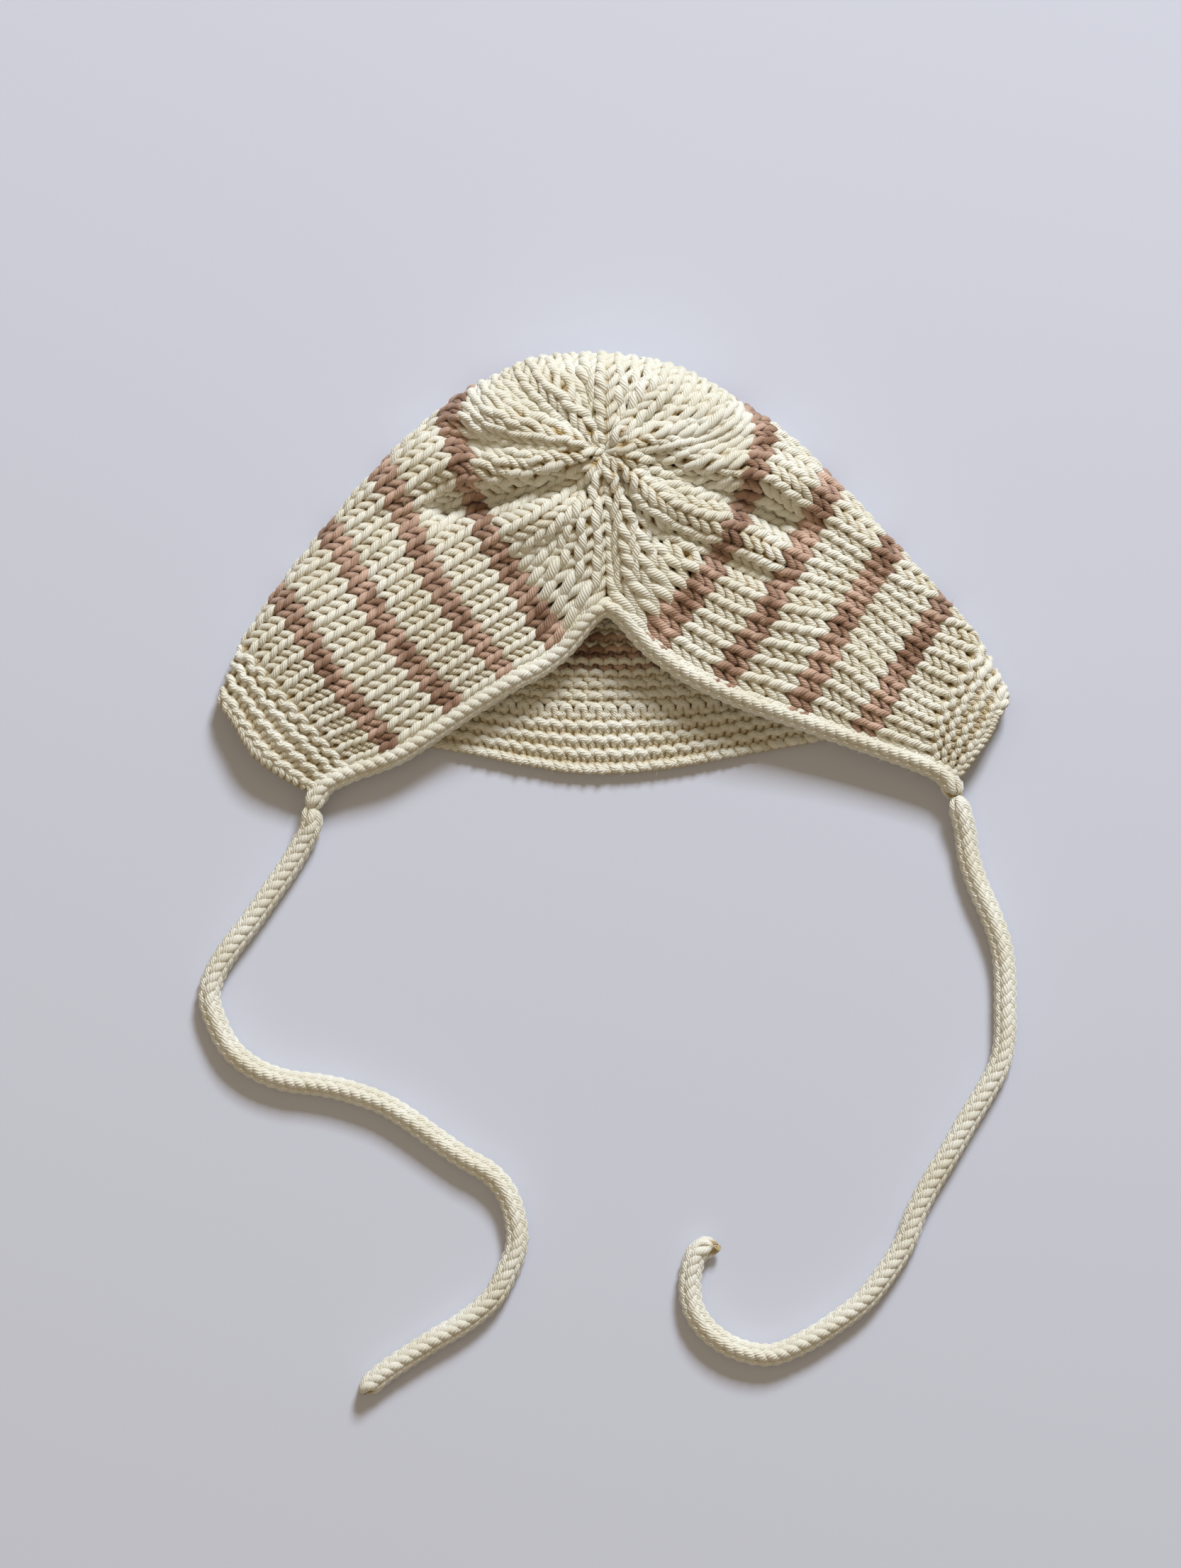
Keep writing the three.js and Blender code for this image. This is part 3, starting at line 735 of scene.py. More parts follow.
@dataclass
class YarnMesh:
    """Collects yarns and makes one mesh object of them, with the yarn's own coordinates in its UV map.

    Attributes:
        name: Name of the object.
        tubes: The yarns.
        fibres: Loose fibres, as fibres by rings by sides by 3.
    """

    # No two yarns of a mesh show the same stretch of wool: each starts this many metres along from the last.
    NEXT_START = 0.37

    # Loose fibres count as this far out from the fabric's middle, where the painted shade between the loops
    # leaves the wool at its palest.
    FIBRE_HEIGHT = 2.0 * MM

    name: str
    tubes: list[Tube] = field(default_factory=list)
    fibres: np.ndarray = field(default_factory=lambda: np.zeros((0, 4, 4, 3)))

    def add(self, tube: Tube) -> None:
        """Adds a yarn."""
        self.tubes.append(tube)

    def _tube_faces(self, tube: Tube, number: int) -> tuple[np.ndarray, np.ndarray]:
        """One yarn's faces: quads between neighbouring rings, then a fan of quads that closes each end.

        Args:
            tube: The yarn.
            number: Its number among the mesh's yarns.

        Returns:
            Corner numbers, as faces by 4, and UV places, as faces by 4 by 2.
        """
        count, sides = tube.rings.shape[:2]
        start = tube.lengths + self.NEXT_START * number
        near = np.broadcast_to(start[:-1, None], (count - 1, sides))
        far = np.broadcast_to(start[1:, None], (count - 1, sides))
        low = np.broadcast_to(np.arange(sides) / sides, (count - 1, sides))
        high = low + 1 / sides
        uv = np.stack([near, low, far, low, far, high, near, high], axis=-1).reshape(-1, 4, 2)
        fan = np.array([[0, k, k + 1, k + 2] for k in range(1, sides - 1, 2)])
        faces = np.concatenate([ring_quads(count, sides), fan, fan[:, ::-1] + (count - 1) * sides])
        return faces, np.concatenate([uv, np.zeros((2 * len(fan), 4, 2))])

    def _fibre_faces(self) -> np.ndarray:
        """The loose fibres' faces: quads between neighbouring rings, and one that closes each end.

        Returns:
            Corner numbers, as faces by 4.
        """
        count, rings, sides = self.fibres.shape[:3]
        ends = np.array([[0, 1, 2, 3], [3, 2, 1, 0]]) + np.array([[0], [(rings - 1) * sides]])
        quads = np.concatenate([ring_quads(rings, sides), ends])
        return (quads[None] + (np.arange(count) * rings * sides)[:, None, None]).reshape(-1, 4)

    def build(self, material: bpy.types.Material) -> bpy.types.Object:
        """Makes the object. Its UV map holds the length along the yarn in metres and the turn round it, and
        its attribute "height" how far each corner stands out from the fabric's middle, in millimetres, from
        which the wool's painted shade is mixed.

        Args:
            material: The yarn's material.

        Returns:
            The linked object.
        """
        places, heights, faces, uvs, base = [], [], [], [], 0
        for number, tube in enumerate(self.tubes):
            quads, uv = self._tube_faces(tube, number)
            places.append(tube.rings.reshape(-1, 3))
            heights.append(tube.heights.ravel())
            faces.append(quads + base)
            uvs.append(uv)
            base += tube.heights.size
        places.append(self.fibres.reshape(-1, 3))
        heights.append(np.full(len(places[-1]), self.FIBRE_HEIGHT))
        faces.append(self._fibre_faces() + base)
        uvs.append(np.zeros((len(faces[-1]), 4, 2)))
        mesh = bpy.data.meshes.new(self.name)
        corners = np.concatenate(faces)
        mesh.from_pydata(np.concatenate(places), [], corners)
        layer = mesh.uv_layers.new(name="yarn")
        layer.data.foreach_set("uv", np.concatenate(uvs).astype(np.float32).ravel())
        height = mesh.attributes.new("height", "FLOAT", "POINT")
        height.data.foreach_set("value", np.concatenate(heights).astype(np.float32) / MM)
        mesh.polygons.foreach_set("use_smooth", np.ones(len(corners), dtype=bool))
        mesh.materials.append(material)
        mesh.update()
        obj = bpy.data.objects.new(self.name, mesh)
        bpy.context.scene.collection.objects.link(obj)
        return obj


@dataclass(frozen=True)
class Halo:
    """Loose fibres that stand off the yarns, each a thin curved strand of four sides. They blur the edges of
    the loops, as the fuzz of hand-knitted wool does.

    Attributes:
        share: Number of fibres for each corner of the yarns' mesh.
        length: Shortest and longest fibre, in metres.
        radius: Half a fibre's thickness, in metres.
        taper: Its thickness over that one, from its root to its tip.
        outward: How straight it leaves the yarn, over how far it slants.
        slant: How far it slants at random.
        bend: How far it bends over its length, at most.
        lowest: Least height over the floor, in metres.
        seed: Seed of its random numbers.
    """

    SIDES = 4

    # Any direction that no fibre follows. The strands' first sides are square to it.
    ASIDE = (0.31, 0.52, 0.8)

    share: float = 0.02
    length: tuple[float, float] = (1.2 * MM, 3.0 * MM)
    radius: float = 0.032 * MM
    taper: tuple[float, ...] = (1.0, 0.9, 0.7, 0.3)
    outward: float = 0.75
    slant: float = 0.6
    bend: float = 0.5
    lowest: float = 0.1 * MM
    seed: int = 11

    def add_to(self, mesh: YarnMesh) -> None:
        """Adds fibres to a mesh of yarns: each starts on a yarn's surface, leaves it at a random slant and
        bends by s^2 along its length.

        Args:
            mesh: The mesh, whose tubes are already made.
        """
        random = np.random.default_rng(self.seed + len(mesh.tubes))
        roots = np.concatenate([tube.rings.reshape(-1, 3) for tube in mesh.tubes])
        middles = np.concatenate(
            [np.repeat(tube.rings.mean(axis=1), tube.rings.shape[1], axis=0) for tube in mesh.tubes]
        )
        picks = random.integers(0, len(roots), int(self.share * len(roots)))
        root, outward = roots[picks], unit(roots[picks] - middles[picks])
        slant = unit(self.outward * outward + self.slant * random.normal(size=root.shape))
        bend = self.bend * random.uniform(-1, 1, size=root.shape)
        size = random.uniform(*self.length, len(picks))[:, None, None]
        s = np.linspace(0, 1, len(self.taper))[None, :, None]
        paths = root[:, None] + size * (s * slant[:, None] + s * s * bend[:, None])
        paths[..., 2] = np.maximum(paths[..., 2], self.lowest)
        side = unit(np.cross(slant, self.ASIDE))
        over = np.cross(side, slant)
        turn = 2 * np.pi * np.arange(self.SIDES) / self.SIDES
        offset = np.cos(turn)[:, None] * side[:, None] - np.sin(turn)[:, None] * over[:, None]
        thickness = self.radius * np.array(self.taper)[None, :, None, None]
        mesh.fibres = paths[:, :, None] + thickness * offset[:, None]


def leg_side(t: np.ndarray) -> np.ndarray:
    """Which leg of a loop a place is on: sin(t)^2 with the sign of -sin(t), which is 1 half way up the first
    leg and -1 half way down the second.

    Args:
        t: How far round the loop, 2 pi for each stitch.

    Returns:
        Values between -1 and 1.
    """
    return np.maximum(-np.sin(t), 0) ** 2 - np.maximum(np.sin(t), 0) ** 2


class Knitting:
    """Works courses of loops on the fabric's surface, a little unevenly, as a hand does."""

    # A stitch of this area, in square metres, is filled by yarn of the usual thickness.
    USUAL_AREA = 5.2 * MM * 3.85 * MM
    FILL_LIMITS = (0.72, 1.3)

    # How much stitches differ, as spreads: of a loop's reach, of its run, of its height in its course, of its
    # depth and of its yarn's thickness.
    UNEVEN_REACH = 0.04
    UNEVEN_RUN = 0.025
    UNEVEN_HEIGHT = 0.05
    UNEVEN_DEPTH = 0.06
    UNEVEN_YARN = 0.035

    FLOOR_GAP = 0.05 * MM

    def __init__(self, fabric: Fabric, yarn: Yarn, seed: int = 7) -> None:
        """Takes up the yarn.

        Args:
            fabric: The surface that the courses lie on.
            yarn: The yarn's sizes.
            seed: Seed of the random numbers, which all courses draw in turn.
        """
        self.fabric = fabric
        self.yarn = yarn
        self.random = np.random.default_rng(seed)

    def _wander(self, stitches: int, spread: float) -> np.ndarray:
        """Small uneven changes from stitch to stitch, linear between them.

        Args:
            stitches: Number of stitches.
            spread: Their standard deviation.

        Returns:
            A change for each place along the yarn.
        """
        knots = self.random.normal(0.0, spread, stitches + 1)
        samples = self.yarn.samples
        return np.interp(np.arange(stitches * samples + 1) / samples, np.arange(stitches + 1), knots)

    def _fill(self, wale: np.ndarray, rise: float, pitch: float, width: float) -> np.ndarray:
        """How much the yarn swells or thins so that it fills its stitch: the root of the stitch's area over
        the usual one, kept within limits.

        Args:
            wale: Wales of the places along the yarn.
            rise: The rise of the course.
            pitch: Its height, as a rise.
            width: A stitch's width, in wales.

        Returns:
            The yarn's thickness at each place, over its usual one.
        """
        level = np.full(len(wale), rise)
        beside, _ = self.fabric.at(wale + width / 2, level)
        before, _ = self.fabric.at(wale - width / 2, level)
        above, _ = self.fabric.at(wale, level + pitch / 2)
        below, _ = self.fabric.at(wale, level - pitch / 2)
        area = np.linalg.norm(np.cross(beside - before, above - below), axis=1)
        return np.clip(np.sqrt(area / self.USUAL_AREA), *self.FILL_LIMITS)

    def course(
        self,
        rise: float,
        pitch: float,
        stitches: int,
        own: Stitch,
        above: Stitch,
        loop: LoopShape,
        wales: tuple[float, float] = (0.0, float(LAST_WALE)),
    ) -> Tube:
        """One course's yarn. With t going round once for each stitch, it runs along by t / 2 pi plus
        waist * sin(2t), up and down by reach * cos(t), and in and out so that its legs lie on the side of its
        own stitch and its heads behind the legs of the course above.

        Args:
            rise: The rise of the course's middle.
            pitch: The rise from one course to the next.
            stitches: Number of stitches in it.
            own: How this course is worked.
            above: How the next one is.
            loop: The loop's shape.
            wales: Where it starts and ends.

        Returns:
            The swept yarn.
        """
        t = np.linspace(-np.pi, 2 * np.pi * stitches - np.pi, stitches * self.yarn.samples + 1)
        cosine = np.cos(t)
        width = (wales[1] - wales[0]) / stitches
        up = loop.reach * (1 + self._wander(stitches, self.UNEVEN_REACH)) * cosine
        along = (t + np.pi) / (2 * np.pi) + loop.waist * np.sin(2 * t) - loop.lean * cosine
        along = np.clip(along + self._wander(stitches, self.UNEVEN_RUN), 0.0, stitches)
        head, foot = np.maximum(cosine, 0) ** 2, np.maximum(-cosine, 0) ** 2
        side = leg_side(t)
        legs = loop.legs * (1 - head - foot) + loop.bulge * side
        out = own.value * (legs - loop.foot * foot) - above.value * loop.head * head
        wale = wales[0] + along * (wales[1] - wales[0]) / stitches
        height = rise + pitch * (up + self._wander(stitches, self.UNEVEN_HEIGHT))
        places, normals = self.fabric.at(wale, height)
        depth = loop.depth * (1 + self._wander(stitches, self.UNEVEN_DEPTH))
        path = places + normals * (depth * out)[:, None]
        radius = self.yarn.radius * (1 + loop.plump * side + self._wander(stitches, self.UNEVEN_YARN))
        radius *= loop.thick * self._fill(wale, rise, loop.rows * pitch, width)
        path[:, 2] = np.maximum(path[:, 2], radius + self.FLOOR_GAP)
        return sweep(path, normals, radius, self.yarn.sides, depth * out)


@dataclass(frozen=True)
class CordPath:
    """A cord's middle line, at even short steps.

    Attributes:
        places: Places along it.
        up: Which way is up at each of them.
    """

    places: np.ndarray
    up: np.ndarray

    @property
    def length(self) -> float:
        """Its length in metres."""
        return float(np.linalg.norm(np.diff(self.places, axis=0), axis=1).sum())


def lengths_along(places: np.ndarray) -> np.ndarray:
    """The length along a line at each of its places, from 0."""
    return np.concatenate([[0], np.cumsum(np.linalg.norm(np.diff(places, axis=0), axis=1))])


def smooth_path(places: np.ndarray, step: float = 0.5 * MM, fine_places: int = 2000) -> CordPath:
    """A smooth curve through places on a level surface, read at even steps of its length.

    Args:
        places: The places that it goes through.
        step: Length of one step.
        fine_places: Number of places from which its length is read.

    Returns:
        The path.
    """
    up = np.tile([0.0, 0.0, 1.0], (len(places), 1))
    chord = lengths_along(places)
    fine = np.linspace(0, chord[-1], fine_places)
    arc = lengths_along(through(chord, places, fine))
    even = np.linspace(0, arc[-1], int(arc[-1] / step) + 1)
    at = np.interp(even, arc, fine)
    return CordPath(through(chord, places, at), unit(through(chord, up, at)))


@dataclass(frozen=True)
class KnittedCord:
    """A round knitted cord of a few stitches, whose yarn winds round it as one long spiral and closes its
    ends as domes.

    Attributes:
        path: Its middle line.
        yarn: The yarn's sizes.
        diameter: Its thickness, in metres.
        seed: Seed of its random numbers.
        stitches: Number of stitches in one row round it.
        row: Height of a row, in metres.
        loop: The shape of its loops.
        end_rows: Number of rows from its end to its first loop's middle.
        end_length: Length of its domed ends, in metres.
        narrowest: The domes stop at this share of their length, before they come to a point.
        uneven: How much stitches differ in height, as a spread.
        painted_shade_lift: How far out the middle of its yarn counts as lying, in metres, for the wool's
            painted shade, which this keeps pale.
    """

    path: CordPath
    yarn: Yarn
    diameter: float
    seed: int = 3
    stitches: int = 3
    row: float = 3.5 * MM
    loop: LoopShape = LoopShape(
        waist=0.18, reach=0.95, lean=0.12, depth=0.8 * MM, plump=0.1, bulge=0.15, thick=1.1
    )
    end_rows: float = 0.6
    end_length: float = 2.4 * MM
    narrowest: float = 0.02
    uneven: float = 0.05
    painted_shade_lift: float = 0.6 * MM

    def _read(self, along: np.ndarray, vectors: np.ndarray) -> np.ndarray:
        """Vectors at lengths along the cord, linear between its places.

        Args:
            along: Lengths along it.
            vectors: A vector for each place of its path.

        Returns:
            A vector for each length.
        """
        step = np.linspace(0, self.path.length, len(self.path.places))
        return np.stack([np.interp(along, step, vectors[:, k]) for k in range(3)], axis=1)

    def tube(self) -> Tube:
        """The yarn. A loop of the fabric is wrapped on a cylinder: its run along the course becomes a turn
        round the cord, and its height becomes a length along it. At the ends the cylinder narrows as
        sqrt(1 - (1 - s)^2), a quarter circle.

        Returns:
            The swept yarn.
        """
        loop, length = self.loop, self.path.length
        count = int(self.stitches * (length - 2 * self.end_rows * self.row) / self.row)
        t = np.linspace(0, 2 * np.pi * count, count * self.yarn.samples + 1)
        cosine = np.cos(t)
        stitch = t / (2 * np.pi)
        turn = (stitch + loop.waist * np.sin(2 * t) - loop.lean * cosine) / self.stitches
        random = np.random.default_rng(self.seed)
        wander = np.interp(stitch, np.arange(count + 1), random.normal(0, self.uneven, count + 1))
        along = self.row * (self.end_rows + stitch / self.stitches + loop.reach * cosine + wander)
        along = np.clip(along, 0, length)
        centre = self._read(along, self.path.places)
        up = unit(self._read(along, self.path.up))
        forward = unit(self._read(along, np.gradient(self.path.places, axis=0)))
        side = unit(np.cross(forward, up))
        over = np.cross(side, forward)
        angle = 2 * np.pi * turn[:, None]
        outward = np.cos(angle) * side + np.sin(angle) * over
        out = loop.depth * (loop.bulge * leg_side(t) - np.cos(2 * t))
        left_over = np.minimum(along, length - along) / self.end_length
        closing = np.sqrt(1 - (1 - np.clip(left_over, self.narrowest, 1)) ** 2)
        middle = self.diameter / 2 - loop.depth - self.yarn.radius
        path = centre + outward * (closing * (middle + out))[:, None]
        radius = self.yarn.radius * (loop.thick + loop.plump * leg_side(t))
        # The heights are raised by painted_shade_lift, so the painted shade between the loops leaves the cord
        # pale.
        return sweep(path, outward, radius, self.yarn.sides, out + self.painted_shade_lift)


def linear(colour: str) -> tuple[float, float, float, float]:
    """An sRGB hex colour as linear RGBA: ((c + 0.055) / 1.055)^2.4, or c / 12.92 when dark.

    Args:
        colour: The colour, such as "#aabbcc".

    Returns:
        Red, green, blue and alpha.
    """
    parts = [int(colour[i : i + 2], 16) / 255 for i in (1, 3, 5)]
    return (*(((c + 0.055) / 1.055) ** 2.4 if c > 0.04045 else c / 12.92 for c in parts), 1.0)


def add_node(tree: bpy.types.NodeTree, kind: str, **settings: object) -> bpy.types.Node:
    """Adds a shader node with its settings and links.

    Args:
        tree: The node tree.
        kind: The node's type.
        **settings: Properties by name, and inputs as in_<index>, each a value or the output linked to it.

    Returns:
        The node.
    """
    node = tree.nodes.new(kind)
    for key, value in settings.items():
        if not key.startswith("in_"):
            setattr(node, key, value)
        elif isinstance(value, bpy.types.NodeSocket):
            tree.links.new(value, node.inputs[int(key[3:])])
        else:
            node.inputs[int(key[3:])].default_value = value
    return node


def add_math(tree: bpy.types.NodeTree, operation: str, *inputs: object) -> bpy.types.NodeSocket:
    """Adds a math node.

    Args:
        tree: The node tree.
        operation: What it does.
        *inputs: Its inputs in order, each a value or the output linked to it.

    Returns:
        Its output.
    """
    numbered = {f"in_{index}": value for index, value in enumerate(inputs)}
    return add_node(tree, "ShaderNodeMath", operation=operation, **numbered).outputs[0]


def wool_material(finish: WoolFinish, yarn: Yarn) -> bpy.types.Material:
    """A plied wool: its strands are ridges that wind round the yarn, |sin(pi (plies * turn + length / (lay /
    plies)))| high, with fine fibres over them, and its tone changes slowly along the yarn. A painted shade
    darkens the yarn where it lies deep between the loops. To the eye that gives matt, twisted yarn with a
    soft bloom at its edges, pale where it stands out and painted dark between the loops.

    Args:
        finish: The wool's colours and scatter.
        yarn: The yarn's sizes.

    Returns:
        The material.
    """
    material = bpy.data.materials.new(finish.name)
    material.use_nodes = True
    tree = material.node_tree
    shader = next(node for node in tree.nodes if node.type == "BSDF_PRINCIPLED")
    shader.inputs["Roughness"].default_value = finish.roughness
    shader.inputs["Sheen Weight"].default_value = finish.sheen
    shader.inputs["Sheen Roughness"].default_value = finish.sheen_roughness
    shader.inputs["Specular IOR Level"].default_value = finish.specular

    # The plies and fibres, as bump: a ridge for each ply, plus noise.
    coords = add_node(tree, "ShaderNodeUVMap", uv_map="yarn")
    parts = add_node(tree, "ShaderNodeSeparateXYZ", in_0=coords.outputs[0])
    along = add_math(tree, "MULTIPLY", parts.outputs[0], yarn.plies / yarn.lay)
    around = add_math(tree, "MULTIPLY_ADD", parts.outputs[1], float(yarn.plies), along)
    phase = add_math(tree, "MULTIPLY", around, math.pi)
    ply = add_math(tree, "ABSOLUTE", add_math(tree, "SINE", phase))
    place = add_node(tree, "ShaderNodeTexCoord").outputs["Object"]
    fibres = add_node(tree, "ShaderNodeTexNoise", in_0=place, in_2=1 / finish.fibre_spacing, in_3=3.0)
    height = add_math(tree, "MULTIPLY_ADD", fibres.outputs[0], finish.fibre_height, ply)
    bump = add_node(tree, "ShaderNodeBump")
    bump.inputs["Strength"].default_value = finish.bump_strength
    bump.inputs["Distance"].default_value = finish.ply_height
    tree.links.new(height, bump.inputs["Height"])
    tree.links.new(bump.outputs[0], shader.inputs["Normal"])

    # The colour: a slow change of tone, and painted shade: the inner colour mixed in where the yarn lies deep
    # between the loops.
    blotch = add_node(tree, "ShaderNodeTexNoise", in_0=place, in_2=1 / finish.blotch, in_3=2.0)
    tone = add_node(tree, "ShaderNodeValToRGB", in_0=blotch.outputs[0])
    stops = zip(tone.color_ramp.elements, finish.tone_stops, (finish.deep, finish.light))
    for element, position, colour in stops:
        element.position = position
        element.color = linear(colour)
    # Painted shade: the nearer the yarn lies to the fabric's middle, the more of the inner colour.
    height_read = add_node(tree, "ShaderNodeAttribute", attribute_name="height")
    depth = add_math(tree, "ABSOLUTE", height_read.outputs["Fac"])
    low, high = (height / MM for height in finish.shade_heights)
    inner = add_node(tree, "ShaderNodeMapRange", in_0=depth, in_1=low, in_2=high, in_3=0.0, in_4=1.0)
    shade = add_node(
        tree,
        "ShaderNodeMix",
        data_type="RGBA",
        blend_type="MIX",
        in_0=inner.outputs[0],
        in_6=linear(finish.inner),
        in_7=tone.outputs[0],
    )
    tree.links.new(shade.outputs[2], shader.inputs["Base Color"])
    return material


class Workroom:
    """What all the pieces share: the sizes, the surface, the knitting in hand, the fuzz and the wools."""

    def __init__(self, size: BonnetSize, yarn: Yarn) -> None:
        """Works out the surface and makes the wools.

        Args:
            size: The bonnet's sizes.
            yarn: The yarn's sizes.
        """
        self.size, self.yarn = size, yarn
        self.fabric = Fabric(size)
        self.knitting = Knitting(self.fabric, yarn)
        self.halo = Halo()
        self.materials = {wool: wool_material(finish, yarn) for wool, finish in FINISHES.items()}

    def finish(self, mesh: YarnMesh, wool: Wool, node: str, fuzzy: bool = True) -> bpy.types.Object:
        """Builds a piece, lets it ride with the bonnet and hides the solid that it stands for.

        Args:
            mesh: The piece's yarns.
            wool: The wool that it is knitted in.
            node: The solid.
            fuzzy: Whether loose fibres stand off it.

        Returns:
            The piece.
        """
        if fuzzy:
            self.halo.add_to(mesh)
        obj = mesh.build(self.materials[wool])
        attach(obj, "root")
        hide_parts(node)
        return obj


@dataclass(frozen=True)
class Tie:
    """A tie: a free knitted cord laid loose.

    Attributes:
        side: The side of the bonnet that it is sewn to.
        route: Its middle line, in millimetres.
        seed: Seed of its random numbers.
        path_step: Every so many places of its line. It is not used.
    """

    side: str
    route: tuple[tuple[float, float, float], ...]
    seed: int = 5
    path_step: int = 6

    def build(self, room: Workroom) -> list[bpy.types.Object]:
        """Makes the tie and says what cord it is.

        Args:
            room: The workroom.

        Returns:
            The piece.
        """
        places = np.array(self.route) * MM
        path = smooth_path(places)
        cord = KnittedCord(path, room.yarn, room.size.tie_diameter, self.seed)
        mesh = YarnMesh(f"tie_{self.side}_cream", [cord.tube()])
        obj = room.finish(mesh, Wool.CREAM, f"tie_{self.side}", fuzzy=False)
        log.info("%s: %.0f mm long", obj.name, path.length / MM)
        return [obj]


@dataclass(frozen=True)
class FaceEdging:
    """The rolled cord along the face opening, from tie to tie over the join.

    Attributes:
        low_rise: Rise of the first place that it is sewn to on each face edge.
        high_rise: Rise of the last such place below the stripe next to the join.
        places: Number of these places.
        join_shift: Where it runs at the join, from the flaps' corners, in metres.
    """

    low_rise: float = 0.03
    high_rise: float = 0.62
    places: int = 9
    join_shift: tuple[float, float, float] = (0.0, -5.0 * MM, -1.0 * MM)

    def build(self, room: Workroom) -> list[bpy.types.Object]:
        """Makes the edging.

        Args:
            room: The workroom.

        Returns:
            The piece.
        """
        size, at = room.size, room.fabric.at
        rises = np.concatenate(
            [np.linspace(self.low_rise, self.high_rise, self.places), [size.last_stripe_rise]]
        )
        left, _ = at(np.zeros(len(rises)), rises)
        right, _ = at(np.full(len(rises), float(LAST_WALE)), rises)
        join, _ = at(np.zeros(1), np.array([size.join_rise]))
        start, end = np.array([TIE_LEFT_ROUTE[0]]) * MM, np.array([TIE_RIGHT_ROUTE[0]]) * MM
        path = smooth_path(np.concatenate([start, left, join + self.join_shift, right[::-1], end]))
        cord = KnittedCord(path, room.yarn, size.edging_diameter)
        mesh = YarnMesh("face_edging_cream", [cord.tube()])
        return [room.finish(mesh, Wool.CREAM, "face_edging")]


@dataclass(frozen=True)
class Body:
    """The stockinette body, in three zones and two wools.

    Attributes:
        stripes: Numbers of the courses that are knitted in rose.
        zones: Its zones, from the left face edge round the back to the right one.
        loop: The shape of its loops.
    """

    stripes: tuple[int, ...] = (4, 5, 10, 11, 16, 17, 22, 23)
    zones: tuple[str, ...] = ("flap_left", "back", "flap_right")
    loop: LoopShape = LoopShape()

    def build(self, room: Workroom) -> list[bpy.types.Object]:
        """Makes the body. Each course is knitted as one yarn and parted at the folds.

        Args:
            room: The workroom.

        Returns:
            Its pieces, one for each zone and wool.
        """
        size, samples = room.size, room.yarn.samples
        meshes = {(zone, wool): YarnMesh(f"{zone}_{wool.value}") for zone in self.zones for wool in Wool}
        for number in range(size.body_courses):
            rise = size.band_rise + (number + 0.5) * size.body_pitch
            wool = Wool.ROSE if number in self.stripes else Wool.CREAM
            tube = room.knitting.course(
                rise, size.body_pitch, LAST_WALE, Stitch.KNIT, Stitch.KNIT, self.loop
            )
            cuts = (0, *room.fabric.fold_wales(rise), LAST_WALE)
            for zone, first, last in zip(self.zones, cuts, cuts[1:]):
                meshes[zone, wool].add(tube.cut(first * samples, last * samples))
        return [room.finish(mesh, wool, zone) for (zone, wool), mesh in meshes.items()]


@dataclass(frozen=True)
class NeckBand:
    """The garter band: knit and purl courses in turn, whose ridges stand out on both sides, and along the
    neck two strands that cross each other like the edge left by casting on.

    Attributes:
        courses: Number of its garter courses.
        loop: The shape of their loops.
        last_reach: The reach of the last course's loops, which close the gap to the body.
        plait: The shape of the neck edge's strands.
        plait_shifts: Where each strand starts, in stitches.
    """

    courses: int = 8
    loop: LoopShape = LoopShape(
        waist=0.07,
        reach=0.72,
        lean=0.03,
        depth=1.15 * MM,
        plump=0.0,
        bulge=0.0,
        legs=0.2,
        foot=1.0,
        head=1.0,
        thick=1.1,
        rows=1.75,
    )
    last_reach: float = 1.15
    plait: LoopShape = LoopShape(
        waist=0.0,
        reach=0.42,
        lean=0.0,
        depth=0.7 * MM,
        plump=0.0,
        bulge=1.0,
        legs=0.0,
        foot=0.6,
        head=0.6,
        thick=1.05,
        rows=1.75,
    )
    plait_shifts: tuple[float, ...] = (0.0, 0.5)

    def build(self, room: Workroom) -> list[bpy.types.Object]:
        """Makes the band, from the neck edge up.

        Args:
            room: The workroom.

        Returns:
            The piece.
        """
        pitch = room.size.band_rise / self.courses
        mesh = YarnMesh("neck_band_cream")
        for shift in self.plait_shifts:
            wales = (shift, LAST_WALE - shift)
            stitches = LAST_WALE - round(2 * shift)
            mesh.add(
                room.knitting.course(0.0, pitch, stitches, Stitch.KNIT, Stitch.PURL, self.plait, wales)
            )
        for number in range(self.courses):
            own, above = (Stitch.PURL, Stitch.KNIT) if number % 2 else (Stitch.KNIT, Stitch.PURL)
            loop = replace(self.loop, reach=self.last_reach) if number == self.courses - 1 else self.loop
            mesh.add(room.knitting.course((number + 0.5) * pitch, pitch, LAST_WALE, own, above, loop))
        return [room.finish(mesh, Wool.CREAM, "neck_band")]


@dataclass(frozen=True)
class Crown:
    """The crown: courses of fewer and fewer stitches, drawn together at the centre.

    Attributes:
        gores: Number of gores, each narrowed at its side.
        gore_stitches: Number of stitches of one gore in each course.
        loop: The shape of its loops.
    """

    gores: int = 8
    gore_stitches: tuple[int, ...] = (7, 6, 6, 5, 5, 4, 3, 3, 2, 2, 1, 1)
    loop: LoopShape = LoopShape(thick=1.08)

    def build(self, room: Workroom) -> list[bpy.types.Object]:
        """Makes the crown, from the last stripe in.

        Args:
            room: The workroom.

        Returns:
            The piece.
        """
        size = room.size
        first = size.band_rise + size.body_courses * size.body_pitch
        pitch = (1 - first) / len(self.gore_stitches)
        mesh = YarnMesh("crown_cream")
        for number, stitches in enumerate(self.gore_stitches):
            rise = first + (number + 0.5) * pitch
            mesh.add(
                room.knitting.course(
                    rise, pitch, self.gores * stitches, Stitch.KNIT, Stitch.KNIT, self.loop
                )
            )
        return [room.finish(mesh, Wool.CREAM, "crown")]


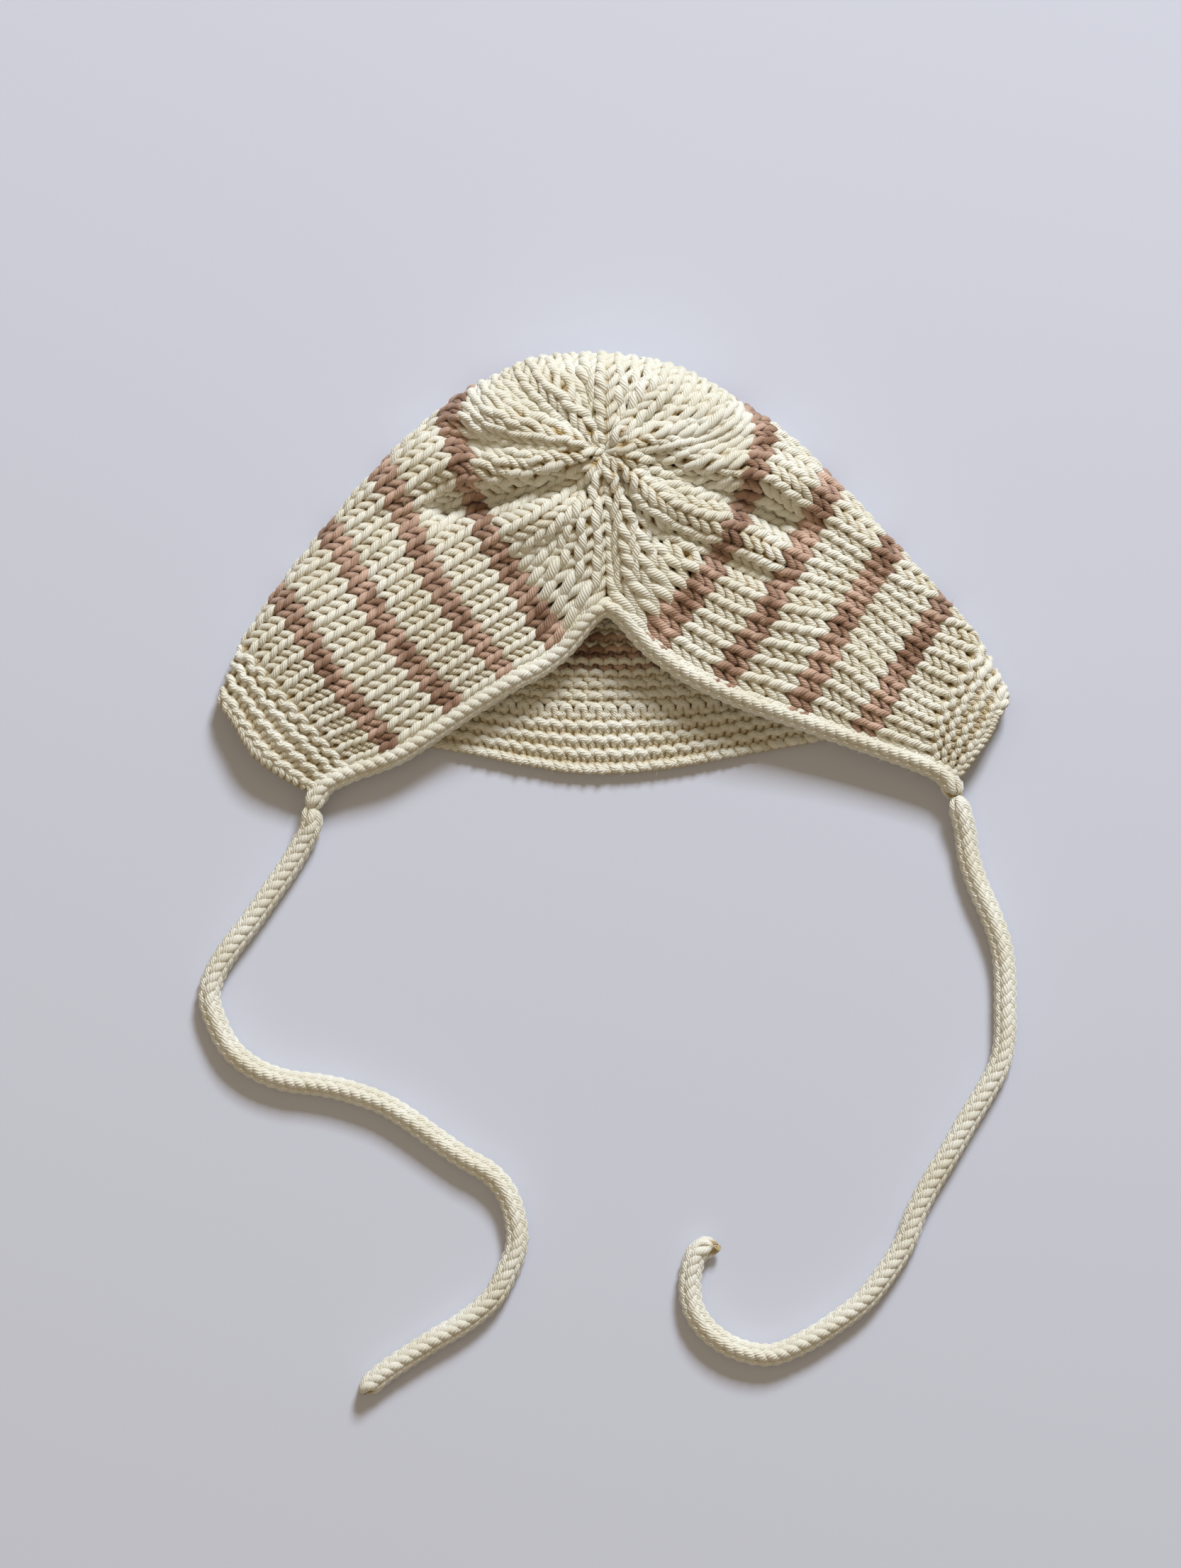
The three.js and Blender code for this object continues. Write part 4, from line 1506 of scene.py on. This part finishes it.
@dataclass(frozen=True)
class AreaLight:
    """A square area light that points at the bonnet.

    Attributes:
        name: Its name.
        place: Where it stands, in metres.
        size: Its side, in metres.
        power: Its power, in watts.
        colour: Its colour, as sRGB hex.
    """

    name: str
    place: tuple[float, float, float]
    size: float
    power: float
    colour: str

    def build(self) -> None:
        """Makes the light and turns it to the photograph's middle."""
        data = bpy.data.lights.new(self.name, "AREA")
        data.size, data.energy = self.size, self.power
        data.color = linear(self.colour)[:3]
        obj = bpy.data.objects.new(self.name, data)
        obj.location = self.place
        target = np.array([*PHOTO_CENTRE, 0.0]) - np.array(self.place)
        flat = math.hypot(target[0], target[1])
        obj.rotation_euler = (math.atan2(flat, -target[2]), 0.0, math.atan2(-target[0], target[1]))
        bpy.context.scene.collection.objects.link(obj)


@dataclass(frozen=True)
class Studio:
    """The pale floor, the soft light and the camera.

    Attributes:
        camera_height: Height of the camera over the floor, in metres.
        sensor_width: Width of its sensor, in millimetres.
        clipping: Nearest and furthest distance that it sees, in metres.
        floor_reach: Half the floor's side, in metres.
        floor_colour: The floor's colour, as sRGB hex.
        floor_roughness: Its roughness.
        lights: The lights.
        sky_colour: Colour of the light from all round, as sRGB hex.
        sky_strength: Its strength.
    """

    camera_height: float = 2.0
    sensor_width: float = 36.0
    clipping: tuple[float, float] = (0.1, 20.0)
    floor_reach: float = 3.0
    floor_colour: str = "#d4d9e6"
    floor_roughness: float = 0.55
    lights: tuple[AreaLight, ...] = (
        AreaLight("window", (0.85, 2.45, 1.95), 0.8, 113.0, "#f1f6ff"),
        AreaLight("fill", (-0.9, -0.6, 1.9), 2.2, 4.0, "#ffe8cc"),
    )
    sky_colour: str = "#f6e0c2"
    sky_strength: float = 0.3

    def _camera(self) -> None:
        """A camera straight above, whose frame holds the photograph's width and height."""
        height = PHOTO_SIZE[1] / PIXELS_PER_METRE
        data = bpy.data.cameras.new("camera")
        data.sensor_width = self.sensor_width
        data.lens = data.sensor_width * self.camera_height / height
        data.clip_start, data.clip_end = self.clipping
        obj = bpy.data.objects.new("camera", data)
        obj.location = (*PHOTO_CENTRE, self.camera_height)
        bpy.context.scene.collection.objects.link(obj)
        bpy.context.scene.camera = obj

    def _floor(self) -> None:
        """A wide plain floor, smooth and matt like painted board."""
        reach = self.floor_reach
        corners = [(-reach, -reach, 0), (reach, -reach, 0), (reach, reach, 0), (-reach, reach, 0)]
        mesh = bpy.data.meshes.new("floor")
        mesh.from_pydata(corners, [], [(0, 1, 2, 3)])
        material = bpy.data.materials.new("pale floor")
        material.use_nodes = True
        shader = next(node for node in material.node_tree.nodes if node.type == "BSDF_PRINCIPLED")
        shader.inputs["Base Color"].default_value = linear(self.floor_colour)
        shader.inputs["Roughness"].default_value = self.floor_roughness
        mesh.materials.append(material)
        obj = bpy.data.objects.new("floor", mesh)
        bpy.context.scene.collection.objects.link(obj)

    def _sky(self) -> None:
        """The weak light from all round, and colours shown as they are."""
        world = bpy.data.worlds.new("studio")
        world.use_nodes = True
        background = world.node_tree.nodes["Background"]
        background.inputs[0].default_value = linear(self.sky_colour)
        background.inputs[1].default_value = self.sky_strength
        bpy.context.scene.world = world
        bpy.context.scene.view_settings.view_transform = "Standard"

    def build(self) -> None:
        """Makes the stage."""
        self._camera()
        self._floor()
        for light in self.lights:
            light.build()
        self._sky()


def main() -> None:
    """Builds the stage and then the bonnet's parts in order, and reports each piece."""
    logging.basicConfig(level=logging.INFO, format="%(message)s")
    Studio().build()
    room = Workroom(BonnetSize(), Yarn())
    ties = Tie("left", TIE_LEFT_ROUTE), Tie("right", TIE_RIGHT_ROUTE)
    for part in (*ties, FaceEdging(), Body(), NeckBand(), Crown()):
        for piece in part.build(room):
            log.info("%s: %d faces", piece.name, len(piece.data.polygons))


if __name__ == "__main__":
    main()
